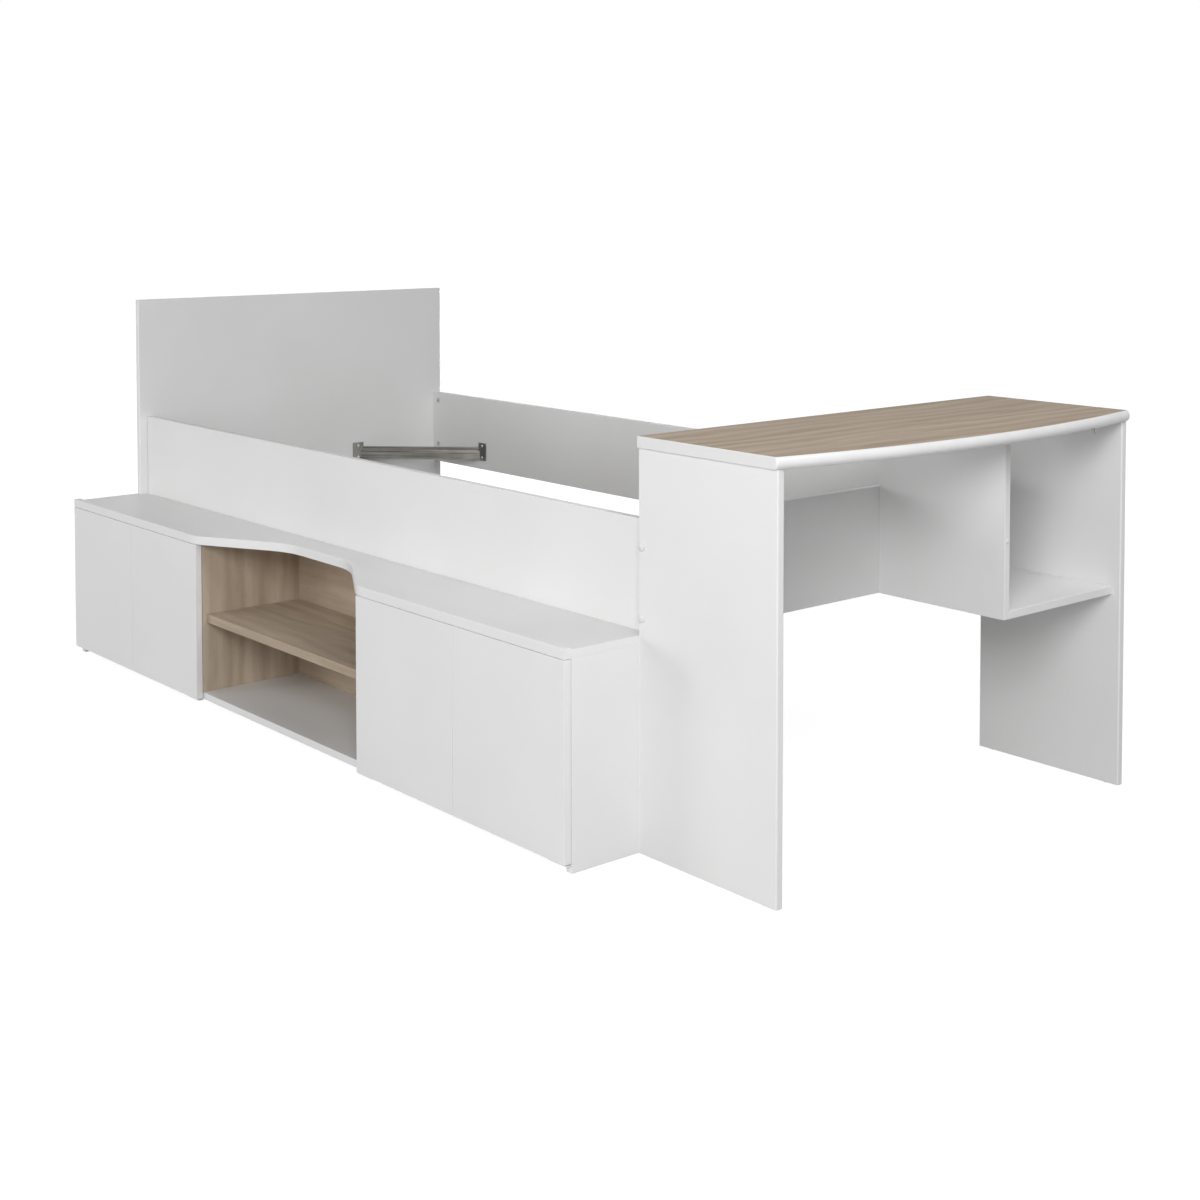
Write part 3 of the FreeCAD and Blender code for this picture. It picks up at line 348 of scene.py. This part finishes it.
class Finish:
    """One procedural material, built node by node on Object coordinates."""

    def __init__(self, name):
        self.material = bpy.data.materials.new(name)
        self.material.use_nodes = True
        self.tree = self.material.node_tree
        self.surface = self.tree.nodes["Principled BSDF"]
        self.place = self.add("ShaderNodeTexCoord").outputs["Object"]

    def add(self, kind, inputs=(), **settings):
        """Node with its settings, and its inputs linked or set by name or number."""
        node = self.tree.nodes.new(kind)
        for key, value in settings.items():
            setattr(node, key, value)
        for key, value in dict(inputs).items():
            self.feed(node.inputs[key], value)
        return node

    def feed(self, socket, value):
        """Link a socket to another node's output, or set its value."""
        if isinstance(value, bpy.types.NodeSocket):
            self.tree.links.new(value, socket)
        else:
            socket.default_value = value

    def mapped(self, turn=(0, 0, 0), scale=(1, 1, 1), place=None, shift=(0, 0, 0)):
        """Coordinates that are stretched, turned and shifted."""
        inputs = {"Vector": place or self.place, "Rotation": turn, "Scale": scale, "Location": shift}
        return self.add("ShaderNodeMapping", inputs).outputs["Vector"]

    def noise(self, place, scale, detail=2.0, roughness=0.5, distortion=0.0):
        """Noise of one scale all ways."""
        inputs = {"Vector": place, "Scale": scale, "Detail": detail, "Roughness": roughness,
                  "Distortion": distortion}
        return self.add("ShaderNodeTexNoise", inputs).outputs["Fac"]

    def drawn_out(self, place, scale, **settings):
        """Noise whose scale differs along X, Y and Z."""
        return self.noise(self.mapped(scale=scale, place=place), 1.0, **settings)

    def between(self, value, tones, ends=(0.0, 1.0)):
        """Value brought from one range to another, held at the ends."""
        inputs = {"Value": value, "From Min": tones[0], "From Max": tones[1],
                  "To Min": ends[0], "To Max": ends[1]}
        return self.add("ShaderNodeMapRange", inputs, clamp=True).outputs["Result"]

    def mix(self, factor, first, second, kind="RGBA"):
        """Colour or number between two others."""
        node = self.add("ShaderNodeMix", data_type=kind)
        *inputs, result = MIX_SOCKETS[kind]
        for number, value in zip(inputs, (factor, first, second)):
            self.feed(node.inputs[number], value)
        return node.outputs[result]

    def calculate(self, operation, first, second):
        """Result of one sum on two numbers."""
        return self.add("ShaderNodeMath", {0: first, 1: second}, operation=operation).outputs["Value"]

    def weighted(self, *terms):
        """Sum of values, each times its share."""
        parts = [self.calculate("MULTIPLY", value, share) for value, share in terms]
        total = parts[0]
        for part in parts[1:]:
            total = self.calculate("ADD", total, part)
        return total

    def relief(self, height, strength_and_distance):
        """Normal of a surface with a fine relief."""
        strength, distance = strength_and_distance
        inputs = {"Height": height, "Strength": strength, "Distance": distance}
        return self.add("ShaderNodeBump", inputs).outputs["Normal"]

    def surface_from(self, **inputs):
        """Feed the shader's own sockets, named in lower case with underscores."""
        for key, value in inputs.items():
            name = key.replace("_", " ").title().replace("Ior", "IOR")
            self.feed(self.surface.inputs[name], value)


def rgba(colour):
    """Opaque colour."""
    return (*colour, 1.0)


def melamine(finish, look):
    """Colour, roughness and height of the white pressed face."""
    clouds = finish.noise(finish.place, WHITE_CLOUDS, detail=3.0)
    pearl = finish.noise(finish.place, 1.0 / look.pearl_size, detail=1.0)
    colour = finish.mix(finish.between(clouds, NOISE_CORE), rgba(look.white_shade), rgba(look.white))
    roughness = finish.between(clouds, NOISE_SPAN, WHITE_ROUGHNESS)
    return colour, roughness, pearl


def oak(finish, look, turn, shift):
    """Colour, roughness and height of the oak face, with its grain along the turned X axis."""
    grain = finish.mapped(turn, shift=shift)
    streaks = finish.drawn_out(grain, OAK_STREAKS, detail=7.0, roughness=0.62, distortion=0.35)
    bands = finish.drawn_out(grain, OAK_BROAD_BANDS, detail=3.0, roughness=0.5, distortion=0.8)
    wave = {"Vector": finish.mapped(scale=OAK_FIGURE, place=grain), **FIGURE_WAVE}
    figure = finish.add("ShaderNodeTexWave", wave, bands_direction="Y").outputs["Fac"]
    pores = finish.drawn_out(grain, OAK_PORES, detail=2.0)
    tone = finish.weighted((streaks, STREAK_SHARE), (bands, BAND_SHARE), (figure, FIGURE_SHARE))
    colour = finish.mix(finish.between(tone, OAK_TONES), rgba(look.oak_dark), rgba(look.oak_light))
    pitted = finish.between(pores, PORE_TONES, (0.0, PORE_SHARE))
    colour = finish.mix(pitted, colour, rgba(look.oak_pore))
    roughness = finish.between(tone, NOISE_SPAN, OAK_ROUGHNESS)
    height = finish.calculate("SUBTRACT", finish.weighted((streaks, STREAK_RELIEF_SHARE)), pitted)
    return colour, roughness, height


def paint(names, material):
    """Give CAD nodes one material."""
    for name in names:
        slots = NODES[name].data.materials
        slots.clear()
        slots.append(material)


def in_slot(slot):
    """Names of the nodes in one of the record's material slots."""
    return [name for name, given in SLOT_OF.items() if given == slot]


def white_finish(look):
    """Melamine of the white boards."""
    finish = Finish("white_melamine")
    colour, roughness, pearl = melamine(finish, look)
    finish.surface_from(base_color=colour, roughness=roughness, normal=finish.relief(pearl, WHITE_RELIEF))
    return finish.material


def oak_finish(look, name, turn, shift):
    """Oak look of one of the niche's boards."""
    finish = Finish("oak_" + name)
    colour, roughness, height = oak(finish, look, turn, shift)
    finish.surface_from(
        base_color=colour, roughness=roughness, specular_ior_level=OAK_SPECULAR,
        normal=finish.relief(height, OAK_RELIEF))
    return finish.material


def desktop_finish(look, turn, top):
    """Oak on the upper face, white edge band and underside."""
    finish = Finish("oak_desktop")
    oak_colour, oak_roughness, oak_height = oak(finish, look, turn, DESKTOP_GRAIN_SHIFT)
    white_colour, white_roughness, _ = melamine(finish, look)
    height = finish.add("ShaderNodeSeparateXYZ", {"Vector": finish.place}).outputs["Z"]
    upper = finish.calculate("GREATER_THAN", height, top - UPPER_FACE_DEPTH)
    finish.surface_from(
        base_color=finish.mix(upper, white_colour, oak_colour),
        roughness=finish.mix(upper, white_roughness, oak_roughness, kind="FLOAT"),
        specular_ior_level=OAK_SPECULAR,
        normal=finish.relief(finish.calculate("MULTIPLY", oak_height, upper), OAK_RELIEF))
    return finish.material


def brushed_finish(name, light, dark, turn):
    """Steel with fine brush lines along the turned X axis."""
    finish = Finish(name)
    lines = finish.drawn_out(finish.mapped((0.0, 0.0, turn)), BRUSH_LINES, detail=3.0)
    smudges = finish.noise(finish.place, STEEL_SMUDGES, detail=3.0)
    tone = finish.weighted((lines, LINE_SHARE), (smudges, SMUDGE_SHARE))
    finish.surface_from(
        base_color=finish.mix(finish.between(tone, NOISE_CORE), rgba(dark), rgba(light)), metallic=1.0,
        roughness=finish.between(lines, NOISE_SPAN, STEEL_ROUGHNESS),
        normal=finish.relief(lines, STEEL_RELIEF))
    return finish.material


def zinc_finish(look):
    """Bright plating with faint crystals."""
    finish = Finish("zinc_plate")
    cells = {"Vector": finish.place, "Scale": ZINC_CRYSTALS}
    crystals = finish.add("ShaderNodeTexVoronoi", cells).outputs["Color"]
    mottle = finish.noise(finish.place, ZINC_MOTTLE, detail=4.0)
    shade = finish.add("ShaderNodeSeparateColor", {"Color": crystals}).outputs["Red"]
    tone = finish.weighted((shade, CRYSTAL_SHARE), (mottle, MOTTLE_SHARE))
    finish.surface_from(
        base_color=finish.mix(finish.between(tone, ZINC_TONES), rgba(look.zinc_dark), rgba(look.zinc_light)),
        metallic=1.0, roughness=finish.between(mottle, NOISE_SPAN, ZINC_ROUGHNESS),
        normal=finish.relief(mottle, ZINC_RELIEF))
    return finish.material


def plastic_finish(name, colour, roughness):
    """Moulded plastic with a fine spark-eroded grain."""
    finish = Finish(name)
    clouds = finish.noise(finish.place, PLASTIC_CLOUDS, detail=3.0)
    grain = finish.noise(finish.place, PLASTIC_GRAIN, detail=1.0)
    shade = tuple(PLASTIC_SHADE_SHARE * channel for channel in colour)
    finish.surface_from(
        base_color=finish.mix(finish.between(clouds, NOISE_SPAN), rgba(shade), rgba(colour)),
        roughness=finish.between(clouds, NOISE_SPAN, roughness),
        normal=finish.relief(grain, PLASTIC_RELIEF))
    return finish.material


def beech_finish(look):
    """Turned beech of the hidden dowels, with short flecks."""
    finish = Finish("beech_dowel")
    flecks = finish.drawn_out(finish.place, BEECH_FLECKS, detail=2.0)
    clouds = finish.noise(finish.place, BEECH_CLOUDS)
    tone = finish.weighted((flecks, FLECK_SHARE), (clouds, BEECH_CLOUD_SHARE))
    colour = finish.mix(finish.between(tone, NOISE_CORE), rgba(look.beech_dark), rgba(look.beech_light))
    finish.surface_from(
        base_color=colour, roughness=finish.between(flecks, NOISE_SPAN, BEECH_ROUGHNESS),
        normal=finish.relief(flecks, BEECH_RELIEF))
    return finish.material


class CABINBED_OT_white_boards(bpy.types.Operator):
    """Give the white boards their melamine finish"""

    bl_idname = "cabin_bed.white_boards"
    bl_label = "White boards"

    def execute(self, context):
        paint(in_slot("white_board"), white_finish(context.scene.cabin_boards))
        return {"FINISHED"}


class CABINBED_OT_oak_boards(bpy.types.Operator):
    """Give the niche's boards and the desktop their oak finish"""

    bl_idname = "cabin_bed.oak_boards"
    bl_label = "Oak boards"

    def execute(self, context):
        look = context.scene.cabin_boards
        for number, name in enumerate(in_slot("oak_board")):
            turn = OAK_GRAIN[name]
            if name == "desktop":
                paint([name], desktop_finish(look, turn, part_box(name)[1].z))
            else:
                shift = tuple(number * step for step in GRAIN_STEP)
                paint([name], oak_finish(look, name, turn, shift))
        return {"FINISHED"}


class CABINBED_OT_fittings(bpy.types.Operator):
    """Give the steel, plastic and beech fittings their finishes"""

    bl_idname = "cabin_bed.fittings"
    bl_label = "Fittings"

    def execute(self, context):
        look = context.scene.cabin_fitting_look
        for name, turn in BRACE_TURNS.items():
            paint([name], brushed_finish("steel_" + name, look.brace_light, look.brace_dark, turn))
        paint(in_slot("zinc_steel"), zinc_finish(look))
        # The caps' finish carries that painted shade in its even grey-white colour
        paint(in_slot("white_cap"), plastic_finish("white_cap_plastic", look.cap, CAP_ROUGHNESS))
        paint(in_slot("white_edging"), plastic_finish("white_edge_strip", look.edging, EDGING_ROUGHNESS))
        paint(in_slot("grey_plastic"), plastic_finish("grey_moulding", look.plastic, GREY_PLASTIC_ROUGHNESS))
        paint(in_slot("beech"), beech_finish(look))
        return {"FINISHED"}


def deselect():
    """Leave edit mode and select nothing."""
    if bpy.context.mode != "OBJECT":
        bpy.ops.object.mode_set(mode="OBJECT")
    bpy.ops.object.select_all(action="DESELECT")


def select_only(obj):
    """Make one object the selected and active one."""
    deselect()
    bpy.context.view_layer.objects.active = obj
    obj.select_set(True)


def faces_up(face):
    """True for a level face that looks up."""
    return face.normal.z > LEVEL_SHARE


def faces_down(face):
    """True for a level face that looks down."""
    return face.normal.z < -LEVEL_SHARE


def mark_faces(obj, test):
    """Select the faces that pass the test, and enter edit mode in face mode."""
    bpy.ops.object.mode_set(mode="EDIT")
    bpy.ops.mesh.select_mode(type="FACE")
    bpy.ops.mesh.select_all(action="DESELECT")
    bpy.ops.object.mode_set(mode="OBJECT")
    for face in obj.data.polygons:
        face.select = test(face)
    bpy.ops.object.mode_set(mode="EDIT")


def turned_blank(name, radius, length, sides):
    """Round blank whose outer face lies at the height zero and whose body runs down from it."""
    deselect()
    bpy.ops.mesh.primitive_cylinder_add(
        vertices=sides, radius=radius, depth=length, location=(0, 0, -length / 2))
    blank = bpy.context.object
    blank.name = name
    bpy.ops.object.transform_apply(location=True, rotation=True, scale=True)
    return blank


def round_outer_rim(blank, width):
    """Bevel the rim of the outer face."""
    mark_faces(blank, lambda face: faces_up(face) and face.center.z > -HEIGHT_TOLERANCE)
    bpy.ops.mesh.region_to_loop()
    bpy.ops.mesh.bevel(offset=width, segments=RIM_SEGMENTS, affect="EDGES")
    bpy.ops.object.mode_set(mode="OBJECT")


def cut_cross(blank, length, width, depth):
    """Cut two crossing slots into the outer face with boxes that narrow towards their foot."""
    for turn in CROSS_TURNS:
        deselect()
        bpy.ops.mesh.primitive_cube_add(size=1.0, location=(0, 0, 0), rotation=(0, 0, turn))
        cutter = bpy.context.object
        cutter.scale = (length, width, 2 * depth)
        bpy.ops.object.transform_apply(location=True, rotation=True, scale=True)
        mark_faces(cutter, faces_down)
        bpy.ops.transform.resize(value=(SLOT_FOOT_SHARE, SLOT_FOOT_SHARE, 1.0))
        bpy.ops.object.mode_set(mode="OBJECT")
        select_only(blank)
        modifier = blank.modifiers.new("slot", "BOOLEAN")
        modifier.operation = "DIFFERENCE"
        modifier.solver = "EXACT"
        modifier.object = cutter
        bpy.ops.object.modifier_apply(modifier=modifier.name)
        bpy.data.objects.remove(cutter)


def placed_copies(model, places, node):
    """Copies of a model at places given as a point and an outward way; the model itself is removed."""
    for number, (point, outward) in enumerate(places, start=1):
        copy = model.copy()
        copy.data = model.data.copy()
        copy.name = f"{model.name}_{number:02d}"
        bpy.context.scene.collection.objects.link(copy)
        turn = Vector((0, 0, 1)).rotation_difference(Vector(outward)).to_matrix().to_4x4()
        copy.data.transform(Matrix.Translation(point) @ turn)
        copy.data.materials.clear()
        copy.data.materials.append(NODES[node].data.materials[0])
        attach(copy, "frame")
        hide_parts(node)
    bpy.data.objects.remove(model)


def smooth(model):
    """Shade the round faces smooth and keep the edges sharp."""
    select_only(model)
    bpy.ops.object.shade_smooth_by_angle(angle=SMOOTH_ANGLE)


class CABINBED_OT_brace_screws(bpy.types.Operator):
    """Model the cross-recessed screws of the corner braces"""

    bl_idname = "cabin_bed.brace_screws"
    bl_label = "Brace screws"

    def execute(self, context):
        sizes = context.scene.cabin_fitting_sizes
        head, height = sizes.screw_head_radius, sizes.screw_head_height
        screw = turned_blank("brace_screw", head, height, SCREW_SIDES)
        round_outer_rim(screw, SCREW_RIM_HEIGHT_SHARE * height)
        mark_faces(screw, faces_down)
        bpy.ops.mesh.inset(thickness=head - sizes.screw_shank_radius)
        bpy.ops.mesh.extrude_region_move(
            TRANSFORM_OT_translate={"value": (0, 0, -sizes.screw_shank_length)})
        bpy.ops.object.mode_set(mode="OBJECT")
        cut_cross(
            screw, SCREW_SLOT_LENGTH_SHARE * head, SLOT_WIDTH_SHARE * head, SCREW_SLOT_HEIGHT_SHARE * height)
        smooth(screw)
        placed_copies(screw, self.places(sizes), "brace_screws")
        return {"FINISHED"}

    def places(self, sizes):
        """Outer middle of each screw head and the way that it faces."""
        reach = sizes.plate_steel + sizes.screw_head_height
        found = []
        for name in BRACE_TURNS:
            low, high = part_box(name)
            at_head, at_front = "head" in name, "front" in name
            way_x, way_y = (1 if at_head else -1), (1 if at_front else -1)
            end_x, rail_y = (low.x if at_head else high.x), (low.y if at_front else high.y)
            far_x, far_y = (high.x if at_head else low.x), (high.y if at_front else low.y)
            for z in (high.z - sizes.screw_edge_margin, low.z + sizes.screw_edge_margin):
                on_end = (end_x + way_x * reach, far_y - way_y * sizes.plate_width / 2, z)
                on_rail = (far_x - way_x * sizes.plate_width / 2, rail_y + way_y * reach, z)
                found.append((Vector(on_end), (way_x, 0, 0)))
                found.append((Vector(on_rail), (0, way_y, 0)))
        return found


class CABINBED_OT_cam_locks(bpy.types.Operator):
    """Model the cross-slotted cam locks of the rails and the desk"""

    bl_idname = "cabin_bed.cam_locks"
    bl_label = "Cam locks"

    def execute(self, context):
        sizes = context.scene.cabin_fitting_sizes
        radius = sizes.cam_radius
        cam = turned_blank("cam_lock", radius, sizes.cam_length, CAM_SIDES)
        mark_faces(cam, faces_up)
        bpy.ops.mesh.inset(thickness=CAM_RIM_SHARE * radius)
        bpy.ops.mesh.extrude_region_move(
            TRANSFORM_OT_translate={"value": (0, 0, -CAM_SINK_PROUD_SHARE * sizes.cam_proud)})
        bpy.ops.object.mode_set(mode="OBJECT")
        cut_cross(
            cam, CAM_SLOT_LENGTH_SHARE * radius, SLOT_WIDTH_SHARE * radius, CAM_SLOT_DEPTH_SHARE * radius)
        smooth(cam)
        placed_copies(cam, self.rail_places(sizes) + self.desk_places(sizes), "cam_locks")
        return {"FINISHED"}

    def rail_places(self, sizes):
        """Outer middle of each rail lock's face and the way that it faces."""
        found = []
        head_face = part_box("headboard")[1].x
        foot_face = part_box("footboard")[0].x
        rail_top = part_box("front_rail")[1].z
        for y, way in ((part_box("front_rail")[1].y, 1), (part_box("rear_rail")[0].y, -1)):
            for x in (head_face + sizes.cam_from_end, foot_face - sizes.cam_from_end):
                for drop in (0.0, sizes.cam_spacing):
                    point = Vector((x, y + way * sizes.cam_proud, rail_top - sizes.cam_top_margin - drop))
                    found.append((point, (0, way, 0)))
        return found

    def desk_places(self, sizes):
        """Outer middle of each desk lock's face and the way that it faces."""
        found = []
        desktop_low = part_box("desktop")[0]
        for name, way in (("desk_left_panel", 1), ("divider", 1), ("desk_right_panel", -1)):
            low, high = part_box(name)
            y = (high.y if way > 0 else low.y) + way * sizes.cam_proud
            for x in (desktop_low.x + sizes.cam_back_margin, high.x - sizes.cam_front_margin):
                found.append((Vector((x, y, desktop_low.z - sizes.cam_from_end)), (0, way, 0)))
        return found


def seen_directly(tree):
    """One for rays from the camera, mirror rays and rays through glass."""
    path = tree.nodes.new("ShaderNodeLightPath")
    total = path.outputs["Is Camera Ray"]
    for name in ("Is Glossy Ray", "Is Transmission Ray"):
        either = tree.nodes.new("ShaderNodeMath")
        either.operation = "MAXIMUM"
        tree.links.new(total, either.inputs[0])
        tree.links.new(path.outputs[name], either.inputs[1])
        total = either.outputs[0]
    return total


def show_by_ray(tree, seen, lighting, output_kind):
    """Show one shader directly and in mirrors, and let another light the bed."""
    choose = tree.nodes.new("ShaderNodeMixShader")
    for socket, value in zip(choose.inputs, (seen_directly(tree), lighting.outputs[0], seen.outputs[0])):
        tree.links.new(value, socket)
    output = tree.nodes.new(output_kind)
    tree.links.new(choose.outputs[0], output.inputs["Surface"])


def plain_shader(tree, kind, colour):
    """Shader of one even colour."""
    shader = tree.nodes.new(kind)
    shader.inputs["Color"].default_value = colour
    return shader


def floor_finish(look):
    """Pale floor that the camera sees as white, with the bed's soft shadow on it."""
    material = bpy.data.materials.new("studio_floor")
    material.use_nodes = True
    tree = material.node_tree
    tree.nodes.clear()
    shadowed = plain_shader(tree, "ShaderNodeBsdfDiffuse", rgba(look.floor_shadowed))
    glow = plain_shader(tree, "ShaderNodeEmission", WHITE)
    tree.links.new(glow_by_distance(tree, look), glow.inputs["Strength"])
    seen = tree.nodes.new("ShaderNodeAddShader")
    tree.links.new(shadowed.outputs[0], seen.inputs[0])
    tree.links.new(glow.outputs[0], seen.inputs[1])
    pale = plain_shader(tree, "ShaderNodeBsdfDiffuse", rgba(look.floor_pale))
    show_by_ray(tree, seen, pale, "ShaderNodeOutputMaterial")
    return material


def glow_by_distance(tree, look):
    """Floor's own glow: a little less near the bed, so that its shadow stays, and full white far out."""
    place = tree.nodes.new("ShaderNodeTexCoord").outputs["Object"]
    distance = tree.nodes.new("ShaderNodeVectorMath")
    distance.operation = "LENGTH"
    tree.links.new(place, distance.inputs[0])
    strength = tree.nodes.new("ShaderNodeMapRange")
    ends = {"From Min": look.glow_start, "From Max": look.glow_end,
            "To Min": look.glow_near, "To Max": look.glow_far}
    for name, value in ends.items():
        strength.inputs[name].default_value = value
    tree.links.new(distance.outputs["Value"], strength.inputs["Value"])
    return strength.outputs["Result"]


def studio_world(ambient):
    """White backdrop for the camera and plain ambient light for the rest."""
    world = bpy.data.worlds.new("studio")
    world.use_nodes = True
    tree = world.node_tree
    tree.nodes.clear()
    light = plain_shader(tree, "ShaderNodeBackground", WHITE)
    light.inputs["Strength"].default_value = ambient
    backdrop = plain_shader(tree, "ShaderNodeBackground", WHITE)
    show_by_ray(tree, backdrop, light, "ShaderNodeOutputWorld")
    return world


def soft_lamp(name, place, target, size, power):
    """Large rectangular lamp that faces a point."""
    deselect()
    bpy.ops.object.light_add(type="AREA", location=place)
    lamp = bpy.context.object
    lamp.name = name
    lamp.data.shape = "RECTANGLE"
    lamp.data.size, lamp.data.size_y = size
    lamp.data.energy = power
    lamp.rotation_euler = (Vector(target) - Vector(place)).to_track_quat("-Z", "Y").to_euler()


class CABINBED_OT_stage(bpy.types.Operator):
    """Make the floor, the lamps, the backdrop and the camera"""

    bl_idname = "cabin_bed.stage"
    bl_label = "Stage"

    def execute(self, context):
        look = context.scene.cabin_stage
        deselect()
        bpy.ops.mesh.primitive_plane_add(size=look.floor_size, location=(0, 0, -look.floor_drop))
        floor = bpy.context.object
        floor.name = "studio_floor"
        floor.data.materials.append(floor_finish(look))
        context.scene.world = studio_world(look.ambient)
        for name, (place, target, size) in LAMPS.items():
            soft_lamp(name + "_lamp", place, target, size, getattr(look, name + "_power"))
        bpy.ops.object.camera_add(location=look.camera_place)
        camera = context.object
        camera.name = "studio_camera"
        camera.rotation_euler = (math.pi / 2 - look.camera_dip, 0.0, look.camera_heading)
        camera.data.lens = look.lens
        camera.data.shift_x, camera.data.shift_y = look.shift
        context.scene.camera = camera
        context.scene.view_settings.view_transform = "Standard"
        return {"FINISHED"}


class CABINBED_PT_sidebar(bpy.types.Panel):
    """Steps that dress the cabin bed"""

    bl_idname = "CABINBED_PT_sidebar"
    bl_label = "Cabin bed"
    bl_space_type = "VIEW_3D"
    bl_region_type = "UI"
    bl_category = "Cabin bed"

    def draw(self, context):
        for step in STEPS:
            self.layout.operator(step.bl_idname)


STEPS = (
    CABINBED_OT_white_boards,
    CABINBED_OT_oak_boards,
    CABINBED_OT_fittings,
    CABINBED_OT_brace_screws,
    CABINBED_OT_cam_locks,
    CABINBED_OT_stage,
)
SETTINGS = {
    "cabin_boards": BoardLook,
    "cabin_fitting_look": FittingLook,
    "cabin_fitting_sizes": FittingSizes,
    "cabin_stage": StageLook,
}


def register():
    """Register the settings, the steps and the panel."""
    for group in (*SETTINGS.values(), *STEPS, CABINBED_PT_sidebar):
        bpy.utils.register_class(group)
    for name, group in SETTINGS.items():
        setattr(bpy.types.Scene, name, bpy.props.PointerProperty(type=group))


def unregister():
    """Take away what register added."""
    for name in SETTINGS:
        delattr(bpy.types.Scene, name)
    for group in reversed((*SETTINGS.values(), *STEPS, CABINBED_PT_sidebar)):
        bpy.utils.unregister_class(group)


def main():
    """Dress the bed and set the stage."""
    register()
    bpy.ops.cabin_bed.white_boards()
    bpy.ops.cabin_bed.oak_boards()
    bpy.ops.cabin_bed.fittings()
    bpy.ops.cabin_bed.brace_screws()
    bpy.ops.cabin_bed.cam_locks()
    bpy.ops.cabin_bed.stage()


if __name__ == "__main__":
    main()
